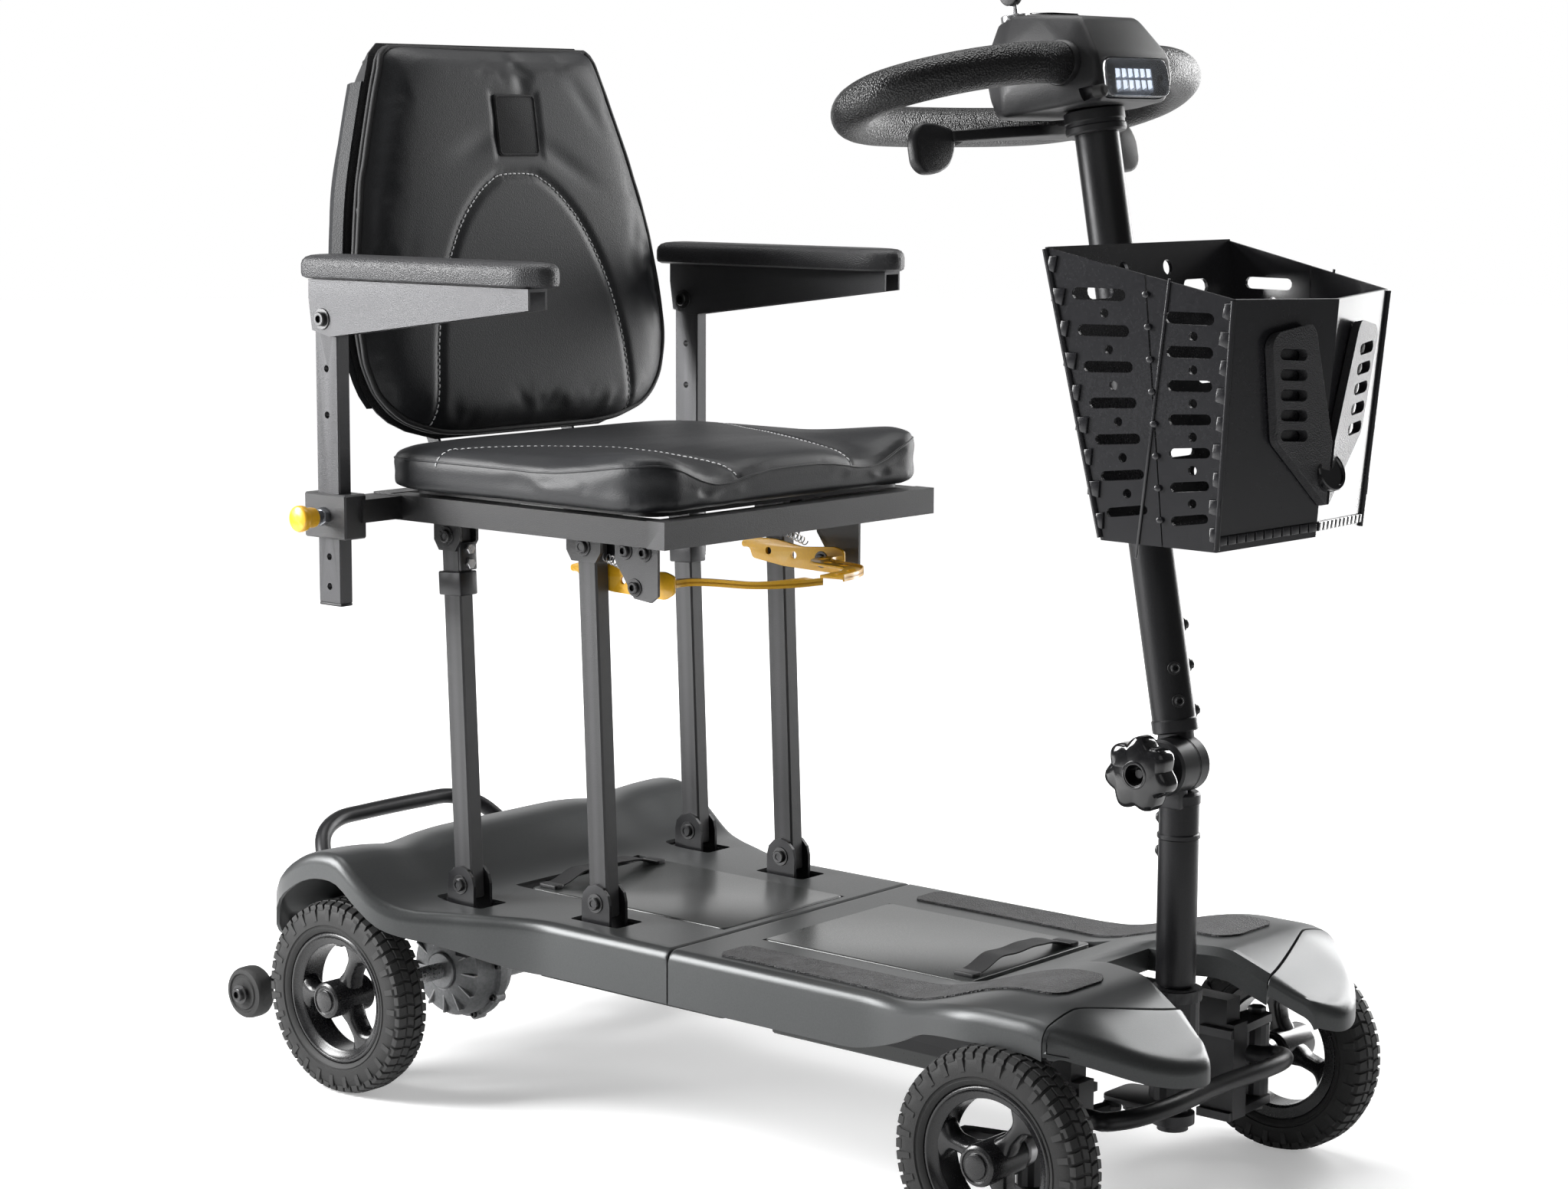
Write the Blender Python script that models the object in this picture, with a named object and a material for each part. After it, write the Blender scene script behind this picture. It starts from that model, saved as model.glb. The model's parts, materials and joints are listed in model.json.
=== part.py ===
"""Folding four-wheel mobility scooter. Metres, +Z up. The front faces -Y and +X is the rider's left.

Positions below are measured from the point on the floor under the rear axle. An empty at the end of
the chain moves the whole scooter so that the origin is on the floor under the middle of the object.
"""

import math

import bpy
import bmesh
from mathutils import Matrix, Vector

# ---- driving dimensions -------------------------------------------------------------------------
ORIGIN_SHIFT_Y = 0.3310        # rear axle's Y in the finished frame
WHEEL_RADIUS = 0.0875
WHEELBASE = 0.7216
TYRE_WIDTH = 0.036
RIM_RADIUS = 0.0592
RIM_OPENING = 0.048
HUB_CAP_RADIUS = 0.0165
REAR_WHEEL_X = 0.2075
FRONT_WHEEL_X = 0.2030
AXLE_RADIUS = 0.0075
KINGPIN_X = 0.160
STEER_ARM = (0.013, 0.050)     # ball joint from the kingpin or column, outwards and rearwards
TIE_ROD_Z = 0.0790

DECK_Z = 0.1795
DECK_HALF_WIDTH = 0.166
SEAM_Y = -0.350
COVER_THICKNESS = 0.003
FENDER_HALF_WIDTH = 0.232
FRONT_FENDER_HALF_WIDTH = 0.204

COLUMN_Y = -0.745
HINGE_Z = 0.365
COLUMN_RADIUS = 0.016
UPPER_TUBE_RADIUS = 0.0175
TILLER_LEAN = math.radians(10.4)
HINGE_BARREL_RADIUS = 0.0225
HINGE_BARREL_X = (-0.0280, -0.0045, -0.0040, 0.0095)
HEAD_TUBE_RADIUS = 0.0195

LEG_LENGTH = 0.3095
LEG_LEAN = math.radians(2.35)
LEG_PIVOT_Z = 0.196
REAR_LEG = (0.150, -0.0987)
FRONT_LEG = (0.123, -0.2376)
LEG_X, LEG_Y = 0.016, 0.022
PIVOT_BOLT_RADIUS = 0.0040

SEAT_HALF_WIDTH = 0.1788
SEAT_TOP_Z = 0.5404
SEAT_RAIL = 0.0232
SEAT_FRONT_Y = -0.3593
SEAT_REAR_Y = -0.012
CUSHION_HALF_WIDTH = 0.190
CUSHION_Y = (-0.354, -0.030)
CUSHION_Z = (0.5450, 0.5890)

POST_X, POST_Y = 0.2310, -0.0193
POST_SIZE = (0.0142, 0.0286)
POST_Z = (0.4475, 0.7020)
CLAMP_Z = (0.5050, 0.5440)
ARM_PIVOT_Z = 0.6950
PAD_Z = (0.7290, 0.7500)
PAD_Y = (-0.282, 0.0050)
PAD_X = (0.2040, 0.2480)

BACK_PIVOT = (0.0150, 0.6400)
BACK_LEAN = math.radians(8.0)

REAR_PACK = (0.0806, -0.3377, -0.1056)
FRONT_PACK = (0.0856, -0.6035, -0.3871)
PACK_BOTTOM_Z = 0.0980
GAP = 0.0004
SIDES = ((1, "left"), (-1, "right"))

MATERIALS = {
    "cover_gunmetal": ((0.115, 0.125, 0.125, 1), 0.42, 0.35),
    "frame_charcoal": ((0.045, 0.045, 0.048, 1), 0.55, 0.30),
    "black_metal": ((0.018, 0.018, 0.020, 1), 0.38, 0.55),
    "black_plastic": ((0.022, 0.022, 0.024, 1), 0.50, 0.0),
    "gloss_plastic": ((0.012, 0.012, 0.013, 1), 0.15, 0.0),
    "tyre_rubber": ((0.018, 0.018, 0.018, 1), 0.80, 0.0),
    "foam_grip": ((0.020, 0.020, 0.021, 1), 0.75, 0.0),
    "leather": ((0.030, 0.031, 0.034, 1), 0.45, 0.0),
    "webbing": ((0.015, 0.015, 0.016, 1), 0.85, 0.0),
    "grit": ((0.035, 0.035, 0.035, 1), 0.95, 0.0),
    "cast_metal": ((0.30, 0.30, 0.31, 1), 0.45, 0.85),
    "yellow": ((0.86, 0.52, 0.02, 1), 0.35, 0.0),
    "lens": ((0.85, 0.88, 0.92, 0.4), 0.05, 0.0),
    "pack_lid": ((0.070, 0.072, 0.070, 1), 0.30, 0.10),
    "steel": ((0.55, 0.55, 0.56, 1), 0.30, 1.0),
}

for old in list(bpy.data.objects):
    bpy.data.objects.remove(old, do_unlink=True)


# ---- helpers ------------------------------------------------------------------------------------
def material(key):
    found = bpy.data.materials.get(key)
    if found:
        return found
    colour, roughness, metallic = MATERIALS[key]
    made = bpy.data.materials.new(key)
    made.use_nodes = True
    shader = made.node_tree.nodes["Principled BSDF"]
    shader.inputs["Base Color"].default_value = colour
    shader.inputs["Roughness"].default_value = roughness
    shader.inputs["Metallic"].default_value = metallic
    return made


def empty(name, at, parent=None, rotation=(0, 0, 0)):
    made = bpy.data.objects.new(name, None)
    made.location = at
    made.rotation_euler = rotation
    made.parent = parent
    bpy.context.scene.collection.objects.link(made)
    return made


def mesh_from(bm):
    bmesh.ops.recalc_face_normals(bm, faces=bm.faces)
    mesh = bpy.data.meshes.new("shape")
    bm.to_mesh(mesh)
    bm.free()
    return mesh


def box(low, high, bevel=0.0, segments=1):
    """A box between two corners, with all its edges bevelled."""
    bm = bmesh.new()
    size = [h - l for l, h in zip(low, high)]
    middle = [(h + l) / 2 for l, h in zip(low, high)]
    bmesh.ops.create_cube(bm, size=1.0)
    bmesh.ops.scale(bm, vec=size, verts=bm.verts)
    if bevel:
        bmesh.ops.bevel(bm, geom=bm.edges[:], offset=bevel, segments=segments, affect="EDGES")
    bmesh.ops.translate(bm, vec=middle, verts=bm.verts)
    return mesh_from(bm)


def turned(profile, axis, at, sides, closed=False):
    """A profile of (radius, distance along the axis) turned about an axis.

    A closed profile makes a ring; an open one starts and ends on flat caps.
    """
    bm = bmesh.new()
    rings = []
    for radius, along in profile:
        ring = []
        for k in range(sides):
            turn = 2 * math.pi * k / sides
            ring.append(bm.verts.new((radius * math.cos(turn), radius * math.sin(turn), along)))
        rings.append(ring)
    pairs = list(zip(rings, rings[1:]))
    if closed:
        pairs.append((rings[-1], rings[0]))
    for a, b in pairs:
        for k in range(sides):
            m = (k + 1) % sides
            bm.faces.new((a[k], a[m], b[m], b[k]))
    if not closed:
        bm.faces.new(rings[0][::-1])
        bm.faces.new(rings[-1])
    turn_to = Vector((0, 0, 1)).rotation_difference(Vector(axis)).to_matrix().to_4x4()
    bmesh.ops.transform(bm, matrix=Matrix.Translation(at) @ turn_to, verts=bm.verts)
    return mesh_from(bm)


def rod(radius, start, end, sides=12):
    """A straight round bar between two points."""
    start, end = Vector(start), Vector(end)
    length = (end - start).length
    return turned([(radius, 0), (radius, length)], (end - start).normalized(), start, sides)


def extruded(outline, normal_axis, low, high, bevel=0.0):
    """A flat outline given in the two remaining axes, extruded along X, Y or Z."""
    order = {"X": (1, 2, 0), "Y": (0, 2, 1), "Z": (0, 1, 2)}[normal_axis]
    bm = bmesh.new()
    rows = []
    for level in (low, high):
        row = []
        for a, b in outline:
            point = [0, 0, 0]
            point[order[0]], point[order[1]], point[order[2]] = a, b, level
            row.append(bm.verts.new(point))
        rows.append(row)
    count = len(outline)
    for k in range(count):
        m = (k + 1) % count
        bm.faces.new((rows[0][k], rows[0][m], rows[1][m], rows[1][k]))
    bm.faces.new(rows[0][::-1])
    bm.faces.new(rows[1])
    bmesh.ops.recalc_face_normals(bm, faces=bm.faces)
    if bevel:
        bmesh.ops.bevel(bm, geom=bm.edges[:], offset=bevel, segments=1, affect="EDGES")
    return mesh_from(bm)


def hull(points, bevel=0.0):
    bm = bmesh.new()
    for point in points:
        bm.verts.new(point)
    bmesh.ops.convex_hull(bm, input=bm.verts)
    loose = [v for v in bm.verts if not v.link_faces]
    bmesh.ops.delete(bm, geom=loose, context="VERTS")
    bmesh.ops.dissolve_limit(bm, angle_limit=math.radians(2), verts=bm.verts, edges=bm.edges)
    if bevel:
        bmesh.ops.bevel(bm, geom=bm.edges[:], offset=bevel, segments=1, affect="EDGES")
    return mesh_from(bm)


def smooth_path(points, step):
    """Points along a Catmull-Rom curve through the route's own points."""
    route = [Vector(p) for p in points]
    route = [2 * route[0] - route[1]] + route + [2 * route[-1] - route[-2]]
    made = []
    for k in range(1, len(route) - 2):
        a, b, c, d = route[k - 1:k + 3]
        count = max(1, round((c - b).length / step))
        for n in range(count):
            t = n / count
            made.append(0.5 * (2 * b + (c - a) * t + (2 * a - 5 * b + 4 * c - d) * t * t
                               + (3 * b - a - 3 * c + d) * t ** 3))
    made.append(route[-2])
    return made


def tube(path, radius, sides=8):
    """A round tube swept along a path of points, closed at both ends."""
    bm = bmesh.new()
    rings = []
    side_way = None
    for k, point in enumerate(path):
        ahead = (path[min(k + 1, len(path) - 1)] - path[max(k - 1, 0)]).normalized()
        if side_way is None:
            side_way = ahead.orthogonal().normalized()
        side_way = (side_way - ahead * side_way.dot(ahead)).normalized()
        other = ahead.cross(side_way)
        ring = []
        for n in range(sides):
            turn = 2 * math.pi * n / sides
            ring.append(bm.verts.new(point + radius * (math.cos(turn) * side_way + math.sin(turn) * other)))
        rings.append(ring)
    for a, b in zip(rings, rings[1:]):
        for n in range(sides):
            m = (n + 1) % sides
            bm.faces.new((a[n], a[m], b[m], b[n]))
    bm.faces.new(rings[0][::-1])
    bm.faces.new(rings[-1])
    return mesh_from(bm)


def combined(base, others, operation):
    """The base mesh joined with, or cut by, each of the others."""
    scene = bpy.context.scene
    holders = []
    for mesh in [base] + others:
        holder = bpy.data.objects.new("operand", mesh)
        scene.collection.objects.link(holder)
        holders.append(holder)
    for holder in holders[1:]:
        step = holders[0].modifiers.new("step", "BOOLEAN")
        step.operation = operation
        step.solver = "EXACT"
        step.object = holder
    depsgraph = bpy.context.evaluated_depsgraph_get()
    made = bpy.data.meshes.new_from_object(holders[0].evaluated_get(depsgraph))
    for holder in holders:
        bpy.data.objects.remove(holder, do_unlink=True)
    return made


def joined(base, *others):
    return combined(base, list(others), "UNION")


def cut(base, *others):
    return combined(base, list(others), "DIFFERENCE")


def mirrored(mesh):
    """The same shape on the other side of X = 0."""
    bm = bmesh.new()
    bm.from_mesh(mesh)
    bmesh.ops.scale(bm, vec=(-1, 1, 1), verts=bm.verts)
    bmesh.ops.reverse_faces(bm, faces=bm.faces)
    return mesh_from(bm)


def add(name, mesh, key, pivot=(0, 0, 0), parent=None, smooth=True):
    """A named part whose origin is at pivot, in its parent's own frame."""
    mesh.transform(Matrix.Translation(-Vector(pivot)))
    if smooth:
        mesh.shade_smooth()
        mesh.set_sharp_from_angle(angle=math.radians(32))
    made = bpy.data.objects.new(name, mesh)
    made.location = pivot
    made.parent = parent or SCOOTER
    mesh.materials.clear()
    mesh.materials.append(material(key))
    bpy.context.scene.collection.objects.link(made)
    return made


def smoothstep(low, high, x):
    t = min(1.0, max(0.0, (x - low) / (high - low)))
    return t * t * (3 - 2 * t)


def follow(pairs, x):
    """A smooth curve through (x, value) pairs in rising x."""
    if x <= pairs[0][0]:
        return pairs[0][1]
    if x >= pairs[-1][0]:
        return pairs[-1][1]
    k = max(n for n, pair in enumerate(pairs[:-1]) if pair[0] <= x)
    (xa, va), (xb, vb) = pairs[k], pairs[k + 1]
    before, after = pairs[max(k - 1, 0)], pairs[min(k + 2, len(pairs) - 1)]
    slope_a = (vb - before[1]) / (xb - before[0]) if k > 0 else 0.0
    slope_b = (after[1] - va) / (after[0] - xa) if k + 2 < len(pairs) else 0.0
    step = xb - xa
    t = (x - xa) / step
    return ((2 * t ** 3 - 3 * t ** 2 + 1) * va + (t ** 3 - 2 * t ** 2 + t) * step * slope_a
            + (3 * t ** 2 - 2 * t ** 3) * vb + (t ** 3 - t ** 2) * step * slope_b)


SCOOTER = empty("scooter", (0, ORIGIN_SHIFT_Y, 0))
COLUMN_AXIS = (0, COLUMN_Y, WHEEL_RADIUS)
TILLER_HINGE = (0, COLUMN_Y, HINGE_Z)
TILLER = empty("tiller_hinge_axis", TILLER_HINGE, SCOOTER, (-TILLER_LEAN, 0, 0))


# ---- wheels -------------------------------------------------------------------------------------
def tyre_mesh(x_centre, y):
    """A solid tyre with a slightly rounded tread."""
    half = TYRE_WIDTH / 2
    inner = RIM_RADIUS + GAP
    profile = [
        (inner, -half * 0.80), (inner + 0.010, -half), (WHEEL_RADIUS - 0.010, -half * 0.98),
        (WHEEL_RADIUS, -half * 0.62), (WHEEL_RADIUS, half * 0.62), (WHEEL_RADIUS - 0.010, half * 0.98),
        (inner + 0.010, half), (inner, half * 0.80),
    ]
    return turned(profile, (1, 0, 0), (x_centre, y, WHEEL_RADIUS), 28, closed=True)


def rim_mesh(side, x_centre, y, bore_depth):
    """Rim ring, three spokes and a hub with its round cap, bored from the inner side."""
    ring = turned([(RIM_OPENING, -0.013), (RIM_RADIUS, -0.015), (RIM_RADIUS, 0.015), (RIM_OPENING, 0.013)],
                  (side, 0, 0), (x_centre, y, WHEEL_RADIUS), 28, closed=True)
    hub = turned([(0.0165, -0.019), (0.0165, 0.0275), (0.013, 0.0292)],
                 (side, 0, 0), (x_centre, y, WHEEL_RADIUS), 14)
    spokes = []
    for k in range(3):
        turn = math.radians(96 + 120 * k)
        across = Matrix.Rotation(turn * side, 4, "X")
        outline = [(-0.0060, 0.010), (0.0060, 0.010), (0.0085, 0.0500), (-0.0085, 0.0500)]
        spoke = extruded(outline, "X", -0.008, 0.010)
        spoke.transform(Matrix.Translation((x_centre, y, WHEEL_RADIUS)) @ across)
        spokes.append(spoke)
    whole = joined(ring, hub, *spokes)
    inner = x_centre - side * 0.025
    bore = rod(AXLE_RADIUS + 0.0009, (inner, y, WHEEL_RADIUS), (inner + side * bore_depth, y, WHEEL_RADIUS), 12)
    return cut(whole, bore)


def make_wheels():
    for side, word in SIDES:
        for end, x, y in (("rear", REAR_WHEEL_X, 0.0), ("front", FRONT_WHEEL_X, -WHEELBASE)):
            centre = (side * x, y, WHEEL_RADIUS)
            add(f"tyre_{end}_{word}", tyre_mesh(side * x, y), "tyre_rubber", centre)
            add(f"rim_{end}_{word}", rim_mesh(side, side * x, y, 0.036), "gloss_plastic", centre)
        shaft = rod(AXLE_RADIUS, (side * 0.096, 0, WHEEL_RADIUS), (side * 0.214, 0, WHEEL_RADIUS))
        add(f"rear_axle_{word}", shaft, "steel", (side * 0.096, 0, WHEEL_RADIUS))
        roller = turned([(0.0060, -0.010), (0.0215, -0.010), (0.0245, -0.006), (0.0245, 0.006), (0.0215, 0.010),
                         (0.0060, 0.010)], (1, 0, 0), (side * 0.158, 0.191, 0.0470), 20, closed=True)
        add(f"anti_tip_wheel_{word}", roller, "tyre_rubber", (side * 0.158, 0.191, 0.0470))


# ---- front axle and steering --------------------------------------------------------------------
def make_steering():
    front = -WHEELBASE
    for side, word in SIDES:
        pin = (side * KINGPIN_X, front, WHEEL_RADIUS)
        barrel = turned([(0.0045, -0.043), (0.0045, -0.030), (0.011, -0.030), (0.011, 0.030), (0.0045, 0.030),
                         (0.0045, 0.043)], (0, 0, 1), pin, 14)
        spindle = turned([(0.0095, 0), (0.0095, 0.018), (AXLE_RADIUS, 0.018), (AXLE_RADIUS, 0.050)],
                         (side, 0, 0), pin, 12)
        tip = (side * (KINGPIN_X + STEER_ARM[0]), front + STEER_ARM[1])
        arm = extruded([(pin[0] - 0.007, front), (pin[0] + 0.007, front), (tip[0] + 0.007, tip[1]),
                        (tip[0] + 0.004, tip[1] + 0.007), (tip[0] - 0.004, tip[1] + 0.007),
                        (tip[0] - 0.007, tip[1])], "Z", 0.0880, 0.0940)
        add(f"knuckle_{word}", joined(barrel, spindle, arm), "black_metal", pin)

        inner = Vector((side * STEER_ARM[0], COLUMN_Y + STEER_ARM[1], TIE_ROD_Z))
        outer = Vector((tip[0], tip[1], TIE_ROD_Z))
        way = (outer - inner).normalized()
        ends = []
        for ball, sign in ((inner, 1), (outer, -1)):
            ends.append(turned([(0.0065, -0.0050), (0.0080, -0.0015), (0.0080, 0.0015), (0.0065, 0.0050)],
                               (0, 0, 1), ball, 12))
            ends.append(rod(0.0055, ball + way * sign * 0.004, ball + way * sign * 0.034, 6))
        add(f"tie_rod_{word}", joined(rod(0.0035, inner + way * 0.01, outer - way * 0.01, 8), *ends),
            "black_metal", inner)

    shaft = turned([(0.0125, 0.0680), (0.0125, 0.0835), (0.0125, 0.0930), (0.0118, 0.0930), (0.0118, 0.1870),
                    (COLUMN_RADIUS, 0.1870), (COLUMN_RADIUS, 0.3060), (COLUMN_RADIUS + 0.0008, 0.3065),
                    (COLUMN_RADIUS + 0.0008, 0.3090), (COLUMN_RADIUS, 0.3095),
                    (COLUMN_RADIUS, HINGE_Z - 0.0260)], (0, 0, 1), (0, COLUMN_Y, 0), 20)
    pitman = extruded([(-0.021, COLUMN_Y - 0.012), (0.021, COLUMN_Y - 0.012), (0.024, COLUMN_Y + 0.030),
                       (0.021, COLUMN_Y + 0.056), (-0.021, COLUMN_Y + 0.056), (-0.024, COLUMN_Y + 0.030)],
                      "Z", 0.0860, 0.0905)
    neck = box((-0.0145, COLUMN_Y - 0.012, HINGE_Z - 0.034), (-0.0050, COLUMN_Y + 0.012, HINGE_Z - 0.012))
    barrel = rod(HINGE_BARREL_RADIUS, (HINGE_BARREL_X[0], COLUMN_Y, HINGE_Z),
                 (HINGE_BARREL_X[1], COLUMN_Y, HINGE_Z), 20)
    bolt = rod(0.0040, (-0.050, COLUMN_Y, HINGE_Z), (0.0125, COLUMN_Y, HINGE_Z), 10)
    nut = rod(0.0070, (HINGE_BARREL_X[3] + 0.0008, COLUMN_Y, HINGE_Z), (0.0145, COLUMN_Y, HINGE_Z), 6)
    add("steering_column", joined(shaft, pitman, neck, barrel, bolt, nut), "black_metal", COLUMN_AXIS)


# ---- tiller: everything here is in the leaning tube's own frame, its hinge at the origin ---------
def star_outline(lobes, outer, inner, count):
    points = []
    for k in range(count):
        turn = 2 * math.pi * k / count
        radius = (outer + inner) / 2 + (outer - inner) / 2 * math.cos(lobes * turn)
        points.append((radius * math.cos(turn), radius * math.sin(turn)))
    return points


def loop_path():
    """The handle loop, from one side of the head round the rider's side to the other."""
    half = [(0.0615, -0.0140, 0.5510), (0.105, -0.0085, 0.5500), (0.148, 0.0110, 0.5475),
            (0.176, 0.0380, 0.5440), (0.1860, 0.0670, 0.5400), (0.172, 0.1010, 0.5350),
            (0.130, 0.1300, 0.5305), (0.060, 0.1400, 0.5290)]
    other = [(-x, v, w) for x, v, w in half[::-1]]
    return smooth_path(half + other, 0.034)


def make_tiller():
    tube_end = 0.5440
    upper = turned([(UPPER_TUBE_RADIUS, 0.0260), (UPPER_TUBE_RADIUS, tube_end)], (0, 0, 1), (0, 0, 0), 20)
    sleeve = turned([(UPPER_TUBE_RADIUS + 0.001, 0.0262), (UPPER_TUBE_RADIUS + 0.001, 0.036)], (0, 0, 1),
                    (0, 0, 0), 20)
    collar = turned([(0.0215, 0.4995), (0.0235, 0.502), (0.0235, 0.5135), (0.020, 0.5145)], (0, 0, 1),
                    (0, 0, 0), 20)
    neck = box((-0.0038, -0.012, 0.012), (0.0090, 0.012, 0.034))
    barrel = rod(HINGE_BARREL_RADIUS, (HINGE_BARREL_X[2], 0, 0), (HINGE_BARREL_X[3], 0, 0), 20)
    bracket = box((-0.022, -0.0262, 0.300), (0.022, -0.012, 0.360))
    bore = rod(0.0046, (-0.010, 0, 0), (0.030, 0, 0), 12)
    add("upper_tiller_tube", cut(joined(upper, sleeve, collar, neck, barrel, bracket), bore), "black_metal",
        parent=TILLER)

    knob = extruded([(a, b) for a, b in star_outline(7, 0.0300, 0.0250, 35)], "X", -0.0640, -0.0435)
    boss = rod(0.0120, (-0.0450, 0, 0), (-0.0285, 0, 0), 14)
    dimple = rod(0.0078, (-0.080, 0, 0), (-0.0555, 0, 0), 12)
    bolt_hole = rod(0.0046, (-0.0520, 0, 0), (-0.0200, 0, 0), 12)
    add("hinge_knob", cut(joined(knob, boss), dimple, bolt_hole), "gloss_plastic", parent=TILLER)

    head_points = []
    for side in (1, -1):
        head_points += [(side * a, v, w) for a, v, w in (
            (0.046, -0.038, 0.517), (0.056, -0.008, 0.518), (0.054, 0.050, 0.520), (0.034, 0.068, 0.521),
            (0.050, -0.045, 0.536), (0.0575, -0.015, 0.540), (0.0575, 0.040, 0.545), (0.036, 0.074, 0.545),
            (0.046, -0.045, 0.564), (0.052, -0.020, 0.570), (0.052, 0.035, 0.578), (0.034, 0.070, 0.578),
            (0.040, -0.026, 0.586), (0.042, 0.004, 0.592), (0.034, 0.040, 0.600), (0.026, 0.060, 0.596))]
    socket = rod(UPPER_TUBE_RADIUS + GAP, (0, 0, 0.480), (0, 0, tube_end + 0.001), 20)
    lamp_seat = box((-0.0435, -0.075, 0.5185), (0.0435, -0.0360, 0.5495))
    add("tiller_head", cut(hull(head_points, 0.004), socket, lamp_seat), "black_plastic", parent=TILLER)
    lens = box((-0.0430, -0.0450, 0.5190), (0.0430, -0.0365, 0.5490), 0.003)
    add("headlight_lens", lens, "lens", parent=TILLER)

    add("handle_loop", tube(loop_path(), 0.0162, 9), "foam_grip", parent=TILLER)

    pivot = (0, 0.046, 0.508)
    half = [(0.016, 0.036), (0.050, 0.044), (0.085, 0.056), (0.104, 0.0620), (0.104, 0.0740), (0.084, 0.070),
            (0.050, 0.060), (0.016, 0.058)]
    plate = extruded(half + [(-a, b) for a, b in half[::-1]], "Z", 0.5030, 0.5130)
    blade = [(0.098, 0.5130), (0.098, 0.5020), (0.108, 0.4880), (0.124, 0.4790), (0.142, 0.4790), (0.150, 0.4860),
             (0.150, 0.5080), (0.140, 0.5180), (0.124, 0.5190)]
    blades = [extruded([(side * a, b) for a, b in blade], "Y", 0.0630, 0.0730) for side in (1, -1)]
    add("throttle_paddle", joined(plate, *blades), "black_plastic", pivot, TILLER)

    key_at = (-0.022, 0.048, 0.6010)
    stem = box((key_at[0] - 0.0012, key_at[1] - 0.004, 0.6010), (key_at[0] + 0.0012, key_at[1] + 0.004, 0.6150))
    bow = turned([(0.0125, -0.0042), (0.0150, -0.0020), (0.0150, 0.0020), (0.0125, 0.0042)], (1, 0, 0),
                 (key_at[0], key_at[1], 0.6185), 10)
    add("ignition_key", joined(stem, bow), "black_plastic", key_at, TILLER)


def basket_ring(height, inset, wall=0.0):
    """The basket's outline in the leaning frame: flat back, tapered sides and a shallow prow.

    Height runs from 0 at the floor of the basket to 1 at its rim, which slopes down to the front.
    """
    low = ((0.110, -0.0308, 0.1845), (0.1063, -0.0788, 0.1747), (0.1025, -0.1268, 0.1648), (0, -0.1494, 0.1650))
    high = ((0.125, -0.0261, 0.4080), (0.1175, -0.1007, 0.3770), (0.110, -0.1754, 0.3460), (0, -0.1969, 0.3394))
    shrink = ((1, 1), (1, 0), (1, -0.8), (0, -1))
    half = []
    for a, b, (across, along) in zip(low, high, shrink):
        x, v, w = (p + (q - p) * height for p, q in zip(a, b))
        half.append((x - inset * across, v - inset * along, w + wall))
    return half + [(-x, v, w) for x, v, w in half[2::-1]]


BASKET_WALL = 0.0028


def loft(sections):
    bm = bmesh.new()
    rings = [[bm.verts.new(p) for p in section] for section in sections]
    count = len(rings[0])
    for a, b in zip(rings, rings[1:]):
        for k in range(count):
            m = (k + 1) % count
            bm.faces.new((a[k], a[m], b[m], b[k]))
    bm.faces.new(rings[0][::-1])
    bm.faces.new(rings[-1])
    return mesh_from(bm)


def make_basket():
    """A tall plastic basket: its rim slopes down towards the front, its sides are slotted."""
    outer = loft([basket_ring(0, 0), basket_ring(1, 0)])
    inner = loft([basket_ring(0, BASKET_WALL, 0.004), basket_ring(1.10, BASKET_WALL)])
    slots = []
    for share, length in ((0.30, 0.030), (0.74, 0.024)):
        for k in range(7):
            height = 0.105 + 0.128 * k
            grow = 0.70 + 0.5 * height
            v = -0.0295 - share * (0.097 + 0.052 * height)
            w = 0.1845 + (0.4080 - 0.1845) * height - share * (0.0197 + 0.0423 * height)
            slot = box((-0.20, -length * grow / 2, -0.0042), (0.20, length * grow / 2, 0.0042))
            slot.transform(Matrix.Translation((0, v, w)) @ Matrix.Rotation(math.radians(22), 4, "X"))
            slots.append(slot)
    add("basket", cut(outer, inner, *slots), "black_plastic", parent=TILLER)

    half = [(0.030, 0.3160), (0.075, 0.3160), (0.0575, 0.2340), (0.0, 0.1870)]
    outline = half + [(-a, b) for a, b in half[2::-1]] + [(0, 0.2375)]
    block = extruded(outline, "Y", -0.230, -0.100)
    back = loft([basket_ring(-0.1, -0.0010), basket_ring(1.1, -0.0010)])
    front = loft([basket_ring(-0.1, -0.0080), basket_ring(1.1, -0.0080)])
    add("basket_grille", cut(combined(block, [front], "INTERSECT"), back), "black_plastic", parent=TILLER)


# ---- covers -------------------------------------------------------------------------------------
def rear_cover_top(x, y):
    rise = follow([(-0.100, 0.0), (-0.081, 0.0015), (-0.062, 0.0080), (-0.039, 0.0235), (-0.0150, 0.0390),
                   (0.008, 0.0410), (0.030, 0.0360), (0.057, 0.0215), (0.080, 0.002), (0.100, -0.030)], y)
    dip = 0.006 * math.exp(-((abs(x) - 0.135) / 0.035) ** 2) * smoothstep(-0.09, -0.02, y)
    return DECK_Z + rise - dip


def rear_cover_half_width(y):
    return follow([(-0.215, DECK_HALF_WIDTH), (-0.130, 0.196), (-0.060, FENDER_HALF_WIDTH - 0.002),
                   (0.000, FENDER_HALF_WIDTH), (0.060, FENDER_HALF_WIDTH - 0.004), (0.090, 0.212), (0.104, 0.190)], y)


def front_cover_top(x, y):
    lift = 0.0275 * (1 - smoothstep(-0.715, -0.585, y))
    fall = 0.044 * (1 - smoothstep(-0.850, -0.745, y))
    outward = 0.010 * max(0.0, (abs(x) - 0.15) / 0.054) ** 2 * (1 - smoothstep(-0.72, -0.62, y))
    return DECK_Z + lift - fall - outward


def front_cover_half_width(y):
    return follow([(-0.695, FRONT_FENDER_HALF_WIDTH), (-0.560, DECK_HALF_WIDTH)], y)


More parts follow.
